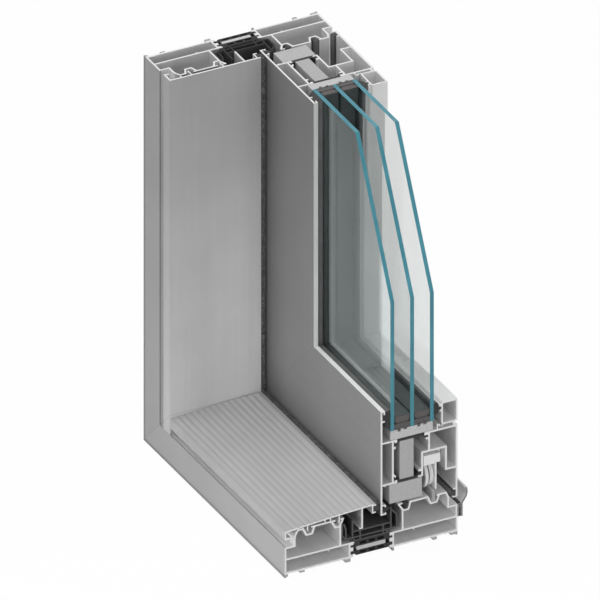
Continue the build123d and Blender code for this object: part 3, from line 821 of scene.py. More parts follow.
@dataclass(frozen=True)
class Pile:
    """Polypropylene pile of the brush seals."""

    name: str
    root: Colour
    tip: Colour

    def build(self) -> bpy.types.Material:
        """Fibres that differ in tone one from the next, blended by noise between the root's and the tip's
        colours.

        Returns:
            The material.
        """
        material, wiring, shader = new_material(self.name)
        spot = wiring.place()
        tufts = wiring.noise(spot, 850.0, 3.0)
        clumps = wiring.noise(spot, 210.0, 2.0)
        share = wiring.math("MULTIPLY", wiring.span(tufts, 0.40, 0.68, 0.0, 1.0),
                            wiring.span(clumps, 0.35, 0.65, 0.45, 1.0))
        wiring.feed(shader.inputs["Base Color"], wiring.blend(share, self.root, self.tip))
        rough = wiring.span(tufts, 0.3, 0.7, 0.70, 0.90)
        wiring.feed(shader.inputs["Roughness"], rough)
        return material


@dataclass(frozen=True)
class MachinedMetal:
    """Bare metal with tool marks, for the carriage, its pin and the rail."""

    name: str
    body: Colour
    shade: Colour
    metal: float
    roughness: float
    stretch: tuple[float, float, float] = Run.SILL.value
    sawn: Colour | None = None

    def build(self) -> bpy.types.Material:
        """Pale metal with lines along its run, and rounded edges lightened partly by wear and partly as a
        painted highlight.

        Returns:
            The material.
        """
        material, wiring, shader = new_material(self.name)
        lines = grouped(wiring, die_lines(), Stretch=self.stretch)
        grain = grouped(wiring, coat_grain(), Scale=1100.0)
        edges = grouped(wiring, worn_and_highlit_edges(), Radius=0.0004)
        share = wiring.span(lines.outputs["Lines"], 0.38, 0.64, 0.0, 0.5)
        colour = wiring.blend(share, self.body, self.shade)
        smudge = wiring.span(grain.outputs["Drift"], 0.45, 0.75, 0.0, 0.35)
        colour = wiring.blend(smudge, colour, self.shade)
        # Lighter edges: partly wear, partly a painted highlight along the arris.
        colour = wiring.tinted(colour, edges.outputs["RubbedAndLit"], 0.35, srgb(240))
        if self.sawn:
            ends = grouped(wiring, sawn_ends())
            colour = wiring.blend(ends.outputs["Mask"], colour, self.sawn)
        wiring.feed(shader.inputs["Base Color"], colour)
        shader.inputs["Metallic"].default_value = self.metal
        rough = wiring.math("ADD", self.roughness, wiring.math("MULTIPLY", grain.outputs["Peel"], 0.15))
        wiring.feed(shader.inputs["Roughness"], rough)
        grit = wiring.math("MULTIPLY", grain.outputs["Peel"], 0.5)
        relief = wiring.math("ADD", lines.outputs["Lines"], grit)
        wiring.bump(shader, relief, 0.3, 0.00008, edges.outputs["Normal"])
        return material


@dataclass(frozen=True)
class TurnedNylon:
    """Wheel nylon with the turning lines round its axis."""

    name: str
    body: Colour
    shade: Colour
    axis_x: float
    axis_z: float
    neck: tuple[float, float]
    neck_dark_radius: float = 14.0
    ring_rate: float = 14000.0

    def build(self) -> bpy.types.Material:
        """Rings are waves of the distance from the axis, which is the root of x squared plus z squared.

        The neck, between its two depths, is darker.

        Returns:
            The material.
        """
        material, wiring, shader = new_material(self.name)
        parts = wiring.add("ShaderNodeSeparateXYZ", inputs={0: wiring.place()})
        left = wiring.math("SUBTRACT", parts.outputs["X"], PLACE.along_x(self.axis_x))
        low = wiring.math("SUBTRACT", parts.outputs["Z"], self.axis_z / 1000)
        square = wiring.math("ADD", wiring.math("MULTIPLY", left, left), wiring.math("MULTIPLY", low, low))
        radius = wiring.math("SQRT", square)
        rings = wiring.math("SINE", wiring.math("MULTIPLY", radius, self.ring_rate))
        grain = grouped(wiring, coat_grain(), Scale=900.0)
        share = wiring.span(grain.outputs["Drift"], 0.35, 0.7, 0.0, 0.5)
        after = wiring.math("GREATER_THAN", parts.outputs["Y"], PLACE.along_y(self.neck[0] - 0.4))
        before = wiring.math("LESS_THAN", parts.outputs["Y"], PLACE.along_y(self.neck[1] + 0.1))
        inner = wiring.math("LESS_THAN", radius, self.neck_dark_radius / 1000)
        darkened = wiring.math("MULTIPLY", wiring.math("MULTIPLY", after, before), inner)
        colour = wiring.blend(share, self.body, self.shade)
        colour = wiring.tinted(colour, darkened, 0.8, srgb(92))
        wiring.feed(shader.inputs["Base Color"], colour)
        rough = wiring.span(rings, -1.0, 1.0, 0.34, 0.46)
        wiring.feed(shader.inputs["Roughness"], rough)
        wiring.bump(shader, rings, 0.3, 0.00006)
        return material


@dataclass(frozen=True)
class FloatGlass:
    """Clear float glass that lets the lamps through."""

    name: str
    tint: Colour
    gloss: float = 1.62
    coating: float = 0.0
    coat_gloss: float = 1.6
    shine: Colour = (0.72, 1.0, 1.0, 1.0)
    shadow: Colour = (0.88, 0.88, 0.88, 1.0)

    def build(self) -> bpy.types.Material:
        """Glass for what is seen, and a clear stand-in for the rays that carry shadow.

        Returns:
            The material.
        """
        material, wiring, shader = new_material(self.name)
        shader.inputs["Base Color"].default_value = self.tint
        shader.inputs["Transmission Weight"].default_value = 1.0
        shader.inputs["IOR"].default_value = self.gloss
        shader.inputs["Roughness"].default_value = 0.0
        shader.inputs["Specular Tint"].default_value = self.shine
        shader.inputs["Coat Weight"].default_value = self.coating
        shader.inputs["Coat Roughness"].default_value = 0.0
        shader.inputs["Coat IOR"].default_value = self.coat_gloss
        clear = wiring.add("ShaderNodeBsdfTransparent", inputs={"Color": self.shadow})
        rays = wiring.add("ShaderNodeLightPath")
        mixed = wiring.add("ShaderNodeMixShader", inputs={0: rays.outputs["Is Shadow Ray"],
                                                          1: shader.outputs[0], 2: clear.outputs[0]})
        output = next(node for node in wiring.tree.nodes if node.type == "OUTPUT_MATERIAL")
        wiring.feed(output.inputs["Surface"], mixed.outputs[0])
        return material


@dataclass(frozen=True)
class GlassEdge:
    """Ground edge of a pane, teal from the depth of glass behind it."""

    name: str
    body: Colour
    pale: Colour

    def build(self) -> bpy.types.Material:
        """Teal with fine ground streaks across the edge and slow changes along it.

        Returns:
            The material.
        """
        material, wiring, shader = new_material(self.name)
        spot = wiring.place()
        slow = wiring.noise(spot, 38.0, 3.0)
        ground = wiring.noise(spot, 1300.0, 2.0)
        share = wiring.span(slow, 0.35, 0.68, 0.0, 0.6)
        colour = wiring.blend(share, self.body, self.pale)
        fine = wiring.span(ground, 0.55, 0.75, 0.0, 0.3)
        wiring.feed(shader.inputs["Base Color"], wiring.blend(fine, colour, self.pale))
        rough = wiring.span(ground, 0.3, 0.7, 0.22, 0.42)
        wiring.feed(shader.inputs["Roughness"], rough)
        wiring.bump(shader, ground, 0.25, 0.00008)
        return material


def softened(corners: Sequence[tuple[float, float]], radius: float, steps: int = 4) -> np.ndarray:
    """Round every corner of a closed outline.

    Each corner gives way to a curve between the points at the radius before and after it. With s
    from 0 to 1 the curve is (1 - s) squared times the first point, plus 2 s (1 - s) times the
    corner, plus s squared times the last.

    Args:
        corners: Depth and reach of each corner, in order.
        radius: How far from a corner its curve starts, at most half of the side.
        steps: Points on each curve, less one.

    Returns:
        The rounded outline, one row a point.
    """
    spots = np.array(corners, dtype=float)
    before = np.roll(spots, 1, axis=0) - spots
    after = np.roll(spots, -1, axis=0) - spots
    share = np.linspace(0.0, 1.0, steps + 1)[None, :, None]

    def pulled(sides: np.ndarray) -> np.ndarray:
        """Point at the radius along each side, or at 0.45 of a short one."""
        lengths = np.linalg.norm(sides, axis=1, keepdims=True)
        return spots + sides / lengths * np.minimum(radius, lengths * 0.45)

    first = pulled(before)[:, None, :]
    last = pulled(after)[:, None, :]
    curve = (1 - share) ** 2 * first + 2 * share * (1 - share) * spots[:, None, :] + share ** 2 * last
    return curve.reshape(-1, 2)


def ring_faces(rings: int, count: int) -> list[tuple[int, ...]]:
    """Quads between neighbouring rings of a closed tube, with an end face on each end.

    Args:
        rings: Number of rings.
        count: Points in each ring.

    Returns:
        Vertex numbers of each face.
    """
    first = np.arange(rings - 1)[:, None] * count
    here = np.arange(count)[None, :]
    there = (here + 1) % count
    quads = np.stack([first + here, first + there, first + count + there, first + count + here], axis=-1)
    faces = [tuple(quad) for quad in quads.reshape(-1, 4).tolist()]
    faces.append(tuple(reversed(range(count))))
    faces.append(tuple(range((rings - 1) * count, rings * count)))
    return faces


def round_the_corner(profile: np.ndarray) -> tuple[np.ndarray, list[tuple[int, ...]]]:
    """Carry a profile from the sill's sawn end to the mitre and up to the jamb's sawn end.

    A profile point at depth d and reach r is (length, d, r) on the sill's end, (r, d, r) on the
    mitre and (r, d, height) on the jamb's end.

    Args:
        profile: Depth and reach of each point.

    Returns:
        Vertices in corner millimetres, and faces.
    """
    depth, reach = profile[:, 0], profile[:, 1]
    across = (np.full_like(reach, PLACE.length), reach, reach)
    upward = (reach, reach, np.full_like(reach, PLACE.height))
    rings = [np.stack([side, depth, rise], axis=-1) for side, rise in zip(across, upward)]
    return np.concatenate(rings), ring_faces(3, len(profile))


def straight_bar(profile: np.ndarray, upright: bool) -> tuple[np.ndarray, list[tuple[int, ...]]]:
    """Carry a profile from the mitre to one sawn end.

    A profile point at depth d and reach r is (r, d, r) on the mitre, and (r, d, height) on the
    jamb's end or (length, d, r) on the sill's.

    Args:
        profile: Depth and reach of each point.
        upright: Whether the bar runs up the jamb.

    Returns:
        Vertices in corner millimetres, and faces.
    """
    depth, reach = profile[:, 0], profile[:, 1]
    end = np.full_like(reach, PLACE.height if upright else PLACE.length)
    far = (reach, depth, end) if upright else (end, depth, reach)
    rings = [np.stack([reach, depth, reach], axis=-1), np.stack(far, axis=-1)]
    return np.concatenate(rings), ring_faces(2, len(profile))


def turned(profile: np.ndarray, axis_x: float, axis_z: float,
           count: int = 96) -> tuple[np.ndarray, list[tuple[int, ...]]]:
    """Turn a closed profile round an axis along Y.

    A profile point at radius r and depth y is (axis_x + r cos a, y, axis_z + r sin a) at angle a.

    Args:
        profile: Radius and depth of each point, closed.
        axis_x: X of the axis.
        axis_z: Z of the axis.
        count: Steps round the axis.

    Returns:
        Vertices in corner millimetres, and faces.
    """
    angle = np.linspace(0.0, 2 * math.pi, count, endpoint=False)[:, None]
    radius, depth = profile[None, :, 0], profile[None, :, 1]
    points = np.stack([axis_x + radius * np.cos(angle), np.broadcast_to(depth, (count, len(profile))),
                       axis_z + radius * np.sin(angle)], axis=-1)
    here = np.arange(count)[:, None] * len(profile)
    there = (np.arange(count)[:, None] + 1) % count * len(profile)
    spot = np.arange(len(profile))[None, :]
    following = (spot + 1) % len(profile)
    quads = np.stack([here + spot, there + spot, there + following, here + following], axis=-1)
    return points.reshape(-1, 3), [tuple(quad) for quad in quads.reshape(-1, 4).tolist()]


def make_piece(name: str, vertices: np.ndarray, faces: Sequence[Sequence[int]],
               finishes: Sequence[bpy.types.Material], body: str,
               replaces: Sequence[str] = (), finish_of: np.ndarray | None = None,
               smooth_below: float = 0.0) -> bpy.types.Object:
    """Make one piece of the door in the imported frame.

    Args:
        name: The piece's name.
        vertices: Corner millimetres, one row a vertex.
        faces: Vertex numbers of each face.
        finishes: Materials of the piece.
        body: Body that it rides on.
        replaces: CAD nodes that it stands for.
        finish_of: Number of the material of each face.
        smooth_below: Edges flatter than this angle in degrees are shaded smooth.

    Returns:
        The new object.
    """
    mesh = bpy.data.meshes.new(name)
    mesh.from_pydata(PLACE.metres(vertices), [], faces)
    for finish in finishes:
        mesh.materials.append(finish)
    if finish_of is not None:
        mesh.polygons.foreach_set("material_index", finish_of.astype(np.int32))
    shape = bmesh.new()
    shape.from_mesh(mesh)
    bmesh.ops.recalc_face_normals(shape, faces=shape.faces)
    limit = math.radians(smooth_below)
    for edge in shape.edges:
        edge.smooth = smooth_below > 0 and edge.calc_face_angle(math.pi) < limit
    for face in shape.faces:
        face.smooth = smooth_below > 0
    shape.to_mesh(mesh)
    shape.free()
    piece = bpy.data.objects.new(name, mesh)
    bpy.context.scene.collection.objects.link(piece)
    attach(piece, body)
    if replaces:
        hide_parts(*replaces)
    log.info("%s: %d faces on %s", name, len(mesh.polygons), body)
    return piece


def dress(node: str, finish: bpy.types.Material) -> None:
    """Give a CAD node its finish.

    Args:
        node: The node's name.
        finish: The material of all its faces.
    """
    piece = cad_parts[node]
    if not piece.material_slots:
        piece.data.materials.append(finish)
    for slot in piece.material_slots:
        slot.material = finish
    log.info("%s: CAD node in %s", node, finish.name)


@dataclass
class BrushSeal:
    """Brush seal between a cover plate and the sash: a backing and its bristles."""

    name: str
    upright: bool
    base_depth: float
    tip_depth: float
    low_reach: float
    high_reach: float
    crest_reach: float
    node: str
    rows: int = 12
    pitch: float = 0.42
    thickness: float = 0.32
    taper: float = 0.4
    scatter_along: float = 0.16
    scatter_reach: float = 0.10
    lean: float = 0.42
    shortfall: float = 1.3
    seed: int = 7

    def fibres(self) -> tuple[np.ndarray, np.ndarray, np.ndarray]:
        """Lay out the bristles and shape each as a three-sided taper.

        A bristle starts on the backing at its place along the bar and its row, and runs to the sash
        with a small random lean; the rows spread evenly there, from the low reach to the crest.
        Corner k of its foot is at half the thickness and angle 2 pi k / 3, and of its tip at that
        radius times the taper.

        Returns:
            Vertices in corner millimetres, the sides as rows of four, and each bristle's first vertex.
        """
        random = np.random.default_rng(self.seed)
        start = self.low_reach
        end = PLACE.height if self.upright else PLACE.length
        steps = int((end - start) / self.pitch)
        along, row = np.meshgrid(np.arange(steps), np.arange(self.rows), indexing="ij")
        along = (start + (along + 0.5) * (end - start) / steps).ravel()
        reach = self.low_reach + (row.ravel() + 0.5) / self.rows * (self.high_reach - self.low_reach)
        along = along + random.normal(0.0, self.scatter_along, along.size)
        reach = reach + random.normal(0.0, self.scatter_reach, along.size)
        keep = (along > reach) & (along < end - 0.15)
        along, reach = along[keep], reach[keep]
        count = along.size
        lean = random.normal(0.0, self.lean, (count, 2))
        foot = np.stack([along, np.full(count, self.base_depth), reach], axis=-1)
        reached = self.tip_depth - random.uniform(0.0, self.shortfall, count)
        swell = (self.crest_reach - self.low_reach) / (self.high_reach - self.low_reach)
        spread = self.low_reach + (reach - self.low_reach) * swell + lean[:, 1] * 0.6
        tip = np.stack([along + lean[:, 0], reached, spread], axis=-1)
        tip[:, 0] = np.minimum(tip[:, 0], end - 0.1)
        tip[:, 2] = np.clip(tip[:, 2], self.low_reach, self.crest_reach)
        angle = 2 * math.pi * np.arange(3) / 3
        ring = np.stack([np.cos(angle), np.zeros(3), np.sin(angle)], axis=-1) * self.thickness / 2
        points = np.concatenate([foot[:, None, :] + ring, tip[:, None, :] + ring * self.taper], axis=1)
        if self.upright:
            points = points[:, :, [2, 1, 0]]
        base = np.arange(count)[:, None, None] * 6
        sides = np.array([[0, 1, 4, 3], [1, 2, 5, 4], [2, 0, 3, 5]])
        return points.reshape(-1, 3), (base + sides[None]).reshape(-1, 4), base[:, 0, 0]

    def build(self, pile: bpy.types.Material, backing: bpy.types.Material) -> None:
        """Make the backing block and the bristles.

        Args:
            pile: Finish of the bristles.
            backing: Finish of the backing.
        """
        points, quads, base = self.fibres()
        faces = [tuple(quad) for quad in quads.tolist()]
        faces += [tuple(end) for end in (base[:, None] + np.array([[2, 1, 0]])).tolist()]
        faces += [tuple(end) for end in (base[:, None] + np.array([[3, 4, 5]])).tolist()]
        make_piece(self.name + "_bristles", points, faces, [pile], "frame", [self.node])
        core = softened([
            (self.base_depth - 0.05, self.low_reach), (self.base_depth + 1.8, self.low_reach),
            (self.tip_depth - 1.2, self.low_reach + 1.0), (self.tip_depth - 1.2, self.crest_reach - 1.2),
            (self.base_depth + 3.0, self.high_reach), (self.base_depth - 0.05, self.high_reach),
        ], 0.3, 2)
        points, faces = straight_bar(core, self.upright)
        make_piece(self.name + "_backing", points, faces, [backing], "frame", [self.node])


@dataclass
class FrameCorner:
    """Sill and jamb: aluminium halves, the plastic break, covers, seals and the rail."""

    head_gasket_left: float = 120.45
    head_gasket_right: float = 124.05
    second_gasket_left: float = 148.95
    second_gasket_right: float = 152.55
    gasket_low: float = 40.35
    gasket_high: float = 47.7
    coat: Colour = srgb(172)
    room_coat: Colour = srgb(214)
    # The last box reaches up to 60 mm, over the top of the inner profile's deck under the wheel, which takes
    # the pale mill colour there as painted light.
    chambers: tuple[tuple[float, float, float], ...] = (
        (0.05, 66.5, 31.4), (1.75, 66.5, 45.5), (108.95, 174.6, 60.0),
    )
    cover_inside: tuple[tuple[float, float, float], ...] = ((1.6, 92.4, 46.0),)
    # Painted light and shade on the covers: the sill cover's coat is paler than the jamb cover's, both are
    # brightened low towards the sash, the jamb cover's level fades with height, and the sill cover's rib
    # valleys get painted shade.
    cover_tones: dict[Run, dict] = field(default_factory=lambda: {
        Run.SILL: {"coat": srgb(180), "painted_back_light": 0.18, "first_rib": 8.6},
        Run.JAMB: {"coat": srgb(172), "painted_back_light": 0.40, "painted_light_top": 0.92, "painted_light_foot": 1.38},
    })
    coated_sill: tuple[str, ...] = ("sill_outer_profile", "sill_inner_profile", "sill_cover")
    coated_jamb: tuple[str, ...] = ("jamb_outer_profile", "jamb_inner_profile", "jamb_cover")

    def dress_nodes(self) -> None:
        """Give the frame's CAD nodes their finishes."""
        for run, nodes in ((Run.SILL, self.coated_sill), (Run.JAMB, self.coated_jamb)):
            side = run.name.lower()
            # Painted light and shade on the jamb profile: its level fades with height.
            tones = {} if run is Run.SILL else {"painted_light_top": 0.80, "painted_light_foot": 0.93, "mill": srgb(226)}
            profile = CoatedAluminium(side + "_coat", self.coat, run, self.room_coat, self.chambers,
                                      **tones).build()
            cover = CoatedAluminium(side + "_cover_coat", run=run, room_coat=self.room_coat,
                                    chambers=self.cover_inside, edge_radius=0.7,
                                    **self.cover_tones[run]).build()
            for node in nodes:
                dress(node, cover if node.endswith("cover") else profile)
        dress("sill_inner_trim", CoatedAluminium("trim_coat", srgb(214), Run.SILL, sawn=srgb(118),
                                                 sawn_metal=0.0, back_plastic=178.3).build())
        dress("sill_rail", MachinedMetal("anodised_rail", srgb(216), srgb(186), metal=0.2,
                                         roughness=0.34, sawn=srgb(158)).build())
        # The jamb's sawn ends are darker than the sill's: painted shade on the upward ends, which the top
        # lamp lights brightly.
        for run, trough_cut, strip_cut in ((Run.SILL, srgb(76), srgb(44)), (Run.JAMB, srgb(18), srgb(24))):
            side = run.name.lower()
            strips = BreakPlastic(side + "_strip_plastic", srgb(40), run, strip_cut).build()
            trough = BreakPlastic(side + "_trough_plastic", srgb(68), run, trough_cut).build()
            dress(side + "_thermal_strips", strips)
            dress(side + "_trough", trough)
        bar = RigidFoam("break_foam", srgb(204), srgb(150), 1100.0).build()
        dress("sill_foam_bar", bar)
        dress("jamb_foam_bar", bar)

    def head_gasket(self, left: float, right: float) -> np.ndarray:
        """Outline of a push-in gasket: a stem with two barbs, and a rounded bulb over the groove.

        Args:
            left: Depth of the groove's near wall.
            right: Depth of its far wall.

        Returns:
            Depth and reach of each point.
        """
        middle = (left + right) / 2
        return softened([
            (left + 0.5, self.gasket_low), (right - 0.5, self.gasket_low), (right - 0.1, 41.6),
            (middle + 0.9, 42.6), (right - 0.2, 43.6), (middle + 0.9, 44.6), (middle + 2.6, 45.0),
            (middle + 2.7, 46.6), (middle + 1.3, self.gasket_high), (middle - 1.3, self.gasket_high),
            (middle - 2.7, 46.6), (middle - 2.6, 45.0), (middle - 0.9, 44.6), (left + 0.2, 43.6),
            (middle - 0.9, 42.6), (left + 0.1, 41.6),
        ], 0.7, 3)

    def build_seals(self) -> None:
        """Make the brush seals and the push-in gaskets."""
        pile = Pile("brush_fibre", srgb(66), srgb(172)).build()
        backing = Pile("brush_backing", srgb(48), srgb(74)).build()
        for seal in (
            BrushSeal("jamb_brush", upright=True, base_depth=90.5, tip_depth=96.75, low_reach=44.2,
                      high_reach=49.2, crest_reach=55.0, node="jamb_brush_seal", seed=3),
            BrushSeal("sill_brush", upright=False, base_depth=90.1, tip_depth=96.75, low_reach=45.9,
                      high_reach=50.9, crest_reach=54.4, node="sill_brush_seal", seed=5),
        ):
            seal.build(pile, backing)
        rubber = Rubber("gasket_rubber", srgb(58), srgb(84)).build()
        grey = Rubber("track_rubber", srgb(100), srgb(124), cut=srgb(52)).build()
        first = self.head_gasket(self.head_gasket_left, self.head_gasket_right)
        points, faces = round_the_corner(first)
        make_piece("head_gasket", points, faces, [rubber], "frame",
                   ["sill_gasket", "jamb_gaskets"], smooth_below=40)
        second = self.head_gasket(self.second_gasket_left, self.second_gasket_right)
        points, faces = straight_bar(second, upright=True)
        make_piece("jamb_track_gasket", points, faces, [grey], "frame",
                   ["jamb_gaskets"], smooth_below=40)

    def build(self) -> None:
        """Dress the frame and add its soft pieces."""
        self.dress_nodes()
        self.build_seals()


@dataclass
class SashCorner:
    """Rail and stile of the sash, with their insulation, beads and gaskets."""

    # The coat is darker than the frame's, partly as painted shade of the face that stands back behind the
    # jamb; the rim is paler as a painted highlight.
    coat: Colour = srgb(137)
    rim_coat: Colour = srgb(222)
    room_coat: Colour = srgb(214)
    bead_coat: Colour = srgb(226)
    chambers: tuple[tuple[float, float, float], ...] = ((97.2, 174.6, 140.0),)
    bead_inside: tuple[tuple[float, float, float], ...] = ((160.2, 173.0, 140.5),)

    def dress_nodes(self) -> None:
        """Give the sash's CAD nodes their finishes."""
        # Painted light and shade on the sash: a paler rim, darkening near the jamb, and a level that fades
        # with height.
        look = {"rim_coat": self.rim_coat, "painted_corner_shade": 0.64, "painted_light_top": 0.80, "painted_light_foot": 1.1}
        for bar, run in (("bottom_rail", Run.SILL), ("stile", Run.JAMB)):
            for half, mill in (("outer", srgb(214)), ("inner", srgb(236))):
                finish = CoatedAluminium(f"{bar}_{half}_coat", self.coat, run, self.room_coat, self.chambers,
                                         mill=mill, **look)
                dress(f"{bar}_{half}", finish.build())
        for bead, run in (("bottom_bead", Run.SILL), ("side_bead", Run.JAMB)):
            dress(bead, CoatedAluminium(bead + "_coat", self.bead_coat, run, self.room_coat,
                                        self.bead_inside, mill=srgb(250)).build())
        dress("bottom_rail_strips", BreakPlastic("rail_break_plastic", srgb(42), Run.SILL, srgb(48)).build())
        dress("stile_strips", BreakPlastic("stile_break_plastic", srgb(42), Run.JAMB, srgb(48)).build())
        core = RigidFoam("core_foam", srgb(178), srgb(142), 1000.0).build()
        block = RigidFoam("block_foam", srgb(184), srgb(148), 800.0).build()
        for node in ("bottom_rail_core", "stile_core"):
            dress(node, core)
        for node in ("bottom_rail_block", "stile_block"):
            dress(node, block)

    @staticmethod
    def on_sash(points: Sequence[tuple[float, float]]) -> list[tuple[float, float]]:
        """Move a section of the sash to where it hangs in the frame."""
        return [(depth + SASH_FACE, reach + SASH_TIP) for depth, reach in points]

    def build_gaskets(self) -> None:
        """Make the wedge gaskets of the glazing and the two seals of the sash's tips.

        Each is a rounded outline carried round the corner.
        """
        dark = Rubber("glazing_rubber", srgb(84), srgb(98)).build()
        black = Rubber("seal_rubber", srgb(66), srgb(90)).build()
        grey = Rubber("bulb_rubber", srgb(112), srgb(134), cut=srgb(60)).build()
        outer = self.on_sash([
            (4.8, 90.0), (9.7, 89.0), (9.7, 107.6), (7.4, 107.6), (4.8, 106.4), (4.8, 103.4), (3.8, 103.4),
            (2.3, 102.6), (2.3, 99.1), (3.8, 98.3), (4.8, 98.3),
        ])
        inner = self.on_sash([
            (54.3, 91.0), (58.2, 92.0), (58.2, 95.3), (60.6, 95.5), (61.2, 96.5), (60.6, 97.5), (58.2, 97.7),
            (58.2, 102.2), (56.6, 103.4), (54.3, 103.4),
        ])
        lip = self.on_sash([(2.05, 3.3), (5.6, 3.3), (9.1, 5.4), (9.1, 7.2), (5.6, 6.6), (2.05, 6.9)])
        for name, outline, node, rubber in (
            ("outer_wedge_gasket", outer, "outer_glazing_gasket", dark),
            ("inner_wedge_gasket", inner, "inner_glazing_gasket", dark),
            ("outer_lip", lip, "outer_lip_seal", black),
        ):
            points, faces = round_the_corner(softened(outline, 0.8, 3))
            make_piece(name, points, faces, [rubber], "sash", [node], smooth_below=40)
        self.build_bulb(grey)

    def build_bulb(self, rubber: bpy.types.Material) -> None:
        """Make the bulb seal: a round bulb on a stem that ends in the sash's hook.

        The bulb is a circle of points at angle a, (middle + r cos a, centre + r sin a), left open
        towards the stem.

        Args:
            rubber: Finish of the seal.
        """
        low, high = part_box("inner_bulb_seal")
        left = low.y * 1000 + PLACE.depth / 2
        right = high.y * 1000 + PLACE.depth / 2
        radius = 2.2
        centre = SASH_TIP + 4.6
        angle = np.radians(np.linspace(40, 320, 21))
        bulb = np.stack([left + radius + radius * np.cos(angle), centre + radius * np.sin(angle)], axis=-1)
        stem = np.array([
            (right - 1.9, SASH_TIP + 3.3), (right - 1.6, SASH_TIP + 1.8), (right, SASH_TIP + 1.8),
            (right, SASH_TIP + 7.7), (right - 1.6, SASH_TIP + 7.7), (right - 1.9, SASH_TIP + 5.9),
        ])
        points, faces = round_the_corner(np.concatenate([bulb, stem]))
        make_piece("inner_bulb", points, faces, [rubber], "sash", ["inner_bulb_seal"],
                   smooth_below=40)

    def build(self) -> None:
        """Dress the sash and add its gaskets."""
        self.dress_nodes()
        self.build_gaskets()


@dataclass
class GlassUnit:
    """Three panes with their spacers, edge seals and packers."""

    pane_starts: tuple[float, ...] = (10.0, 30.0, 50.0)
    pane_names: tuple[str, ...] = ("outer", "middle", "inner")
    thickness: float = 4.0
    arris: float = 0.35
    edge: float = 124.8
    top_length: float = 210.5
    slant_height: float = 258.0
    spacer_low: float = 91.2
    spacer_height: float = 8.0
    spacer_width: float = 15.6
    spacer_starts: tuple[tuple[str, float], ...] = (("outer", 14.2), ("inner", 34.2))
    outer_tint: Colour = (0.905, 0.96, 0.955, 1.0)
    clear_tint: Colour = (0.905, 0.945, 0.94, 1.0)

    def pane(self, start: float) -> tuple[np.ndarray, list[tuple[int, ...]], np.ndarray]:
        """Shape one pane with its arrises ground off.

        The five corners are moved in by the arris on both faces; between them the full outline
        makes the edge. Moving in by a along both sides of a corner shifts it by a times the sum of
        the sides' inner normals, over one plus the cosine between them.

        Args:
            start: Depth of the pane's outer face behind the sash's face.

        Returns:
            Vertices, faces, and the material number of each face.
        """
        corners = np.array([
            (self.edge, self.edge), (PLACE.length, self.edge), (PLACE.length, self.slant_height),
            (self.top_length, PLACE.height), (self.edge, PLACE.height),
        ])
        sides = np.roll(corners, -1, axis=0) - corners
        sides /= np.linalg.norm(sides, axis=1, keepdims=True)
        normals = np.stack([-sides[:, 1], sides[:, 0]], axis=-1)
        both = normals + np.roll(normals, 1, axis=0)
        spread = 1 + np.sum(normals * np.roll(normals, 1, axis=0), axis=1, keepdims=True)
        inside = corners + both / spread * self.arris
        face = SASH_FACE + start
        depths = (face, face + self.arris, face + self.thickness - self.arris, face + self.thickness)
        rings = [
            np.stack([ring[:, 0], np.full(5, depth), ring[:, 1]], axis=-1)
            for ring, depth in zip((inside, corners, corners, inside), depths)
        ]
        faces = ring_faces(4, 5)
        finish_of = np.array([1] * (len(faces) - 2) + [0, 0])
        return np.concatenate(rings), faces, finish_of

    def build_panes(self) -> None:
        """Make the three panes, clear with teal edges."""
        first = FloatGlass("outer_float_glass", self.outer_tint, gloss=1.78, coating=0.65).build()
        others = FloatGlass("clear_float_glass", self.clear_tint).build()
        teal = GlassEdge("teal_edge", srgb(50, 124, 140), srgb(74, 148, 162)).build()
        for name, start in zip(self.pane_names, self.pane_starts):
            points, faces, finish_of = self.pane(start)
            clear = first if name == "outer" else others
            make_piece(name + "_float", points, faces, [clear, teal], "sash",
                       [name + "_pane"], finish_of)

    def bar_outline(self, start: float, inset: float, rise: float, run: float,
                    rounding: float) -> np.ndarray:
        """Outline of a spacer bar or of its hollow: a box with its two lower corners cut off.

        Args:
            start: Depth of the bar behind the sash's face.
            inset: How far the outline lies inside the bar's own.
            rise: Height of the cut corners over the bar's foot.
            run: Depth of the cut corners from the bar's side.
            rounding: Radius of the corners.

        Returns:
            Depth and reach of each point.
        """
        left, right = start, start + self.spacer_width
        low, high = self.spacer_low, self.spacer_low + self.spacer_height
        return softened(SashCorner.on_sash([
            (left + inset, low + rise), (left + run, low + inset), (right - run, low + inset),
            (right - inset, low + rise), (right - inset, high - inset), (left + inset, high - inset),
        ]), rounding, 3)

    def build_spacers(self) -> None:
        """Make the hollow spacer bars between the panes, and the desiccant seen at their ends."""
        tube = Rubber("spacer_wall", srgb(56, 62, 62), srgb(66, 72, 72), roughness=0.6,
                      cut=srgb(66, 64, 64)).build()
        fill = RigidFoam("desiccant", srgb(100, 96, 96), srgb(75, 72, 72), cell_scale=1300.0,
                         depth=0.0002).build()
        for name, start in self.spacer_starts:
            shell = self.bar_outline(start, inset=0.0, rise=2.6, run=2.2, rounding=0.6)
            hollow = self.bar_outline(start, inset=0.6, rise=2.9, run=2.6, rounding=0.5)
            outside, _ = round_the_corner(shell)
            inside, _ = round_the_corner(hollow)
            count = len(shell)
            total = 3 * count
            walls = ring_faces(3, count)[:-2]
            faces = walls + [tuple(index + total for index in reversed(quad)) for quad in walls]
            here = np.arange(count)
            there = (here + 1) % count
            for ring in (0, 2 * count):
                rim = np.stack([here, here + total, there + total, there], axis=-1) + ring
                faces += [tuple(quad) for quad in rim.tolist()]
            make_piece(name + "_spacer_bar", np.concatenate([outside, inside]), faces, [tube], "sash",
                       [name + "_spacer"], smooth_below=40)
            grains = self.bar_outline(start, inset=0.65, rise=2.95, run=2.65, rounding=0.5)
            points, faces = round_the_corner(grains)
            points[:len(grains), 0] -= 0.5
            points[2 * len(grains):, 2] -= 0.5
            make_piece(name + "_desiccant", points, faces, [fill], "sash",
                       [name + "_spacer"], smooth_below=40)

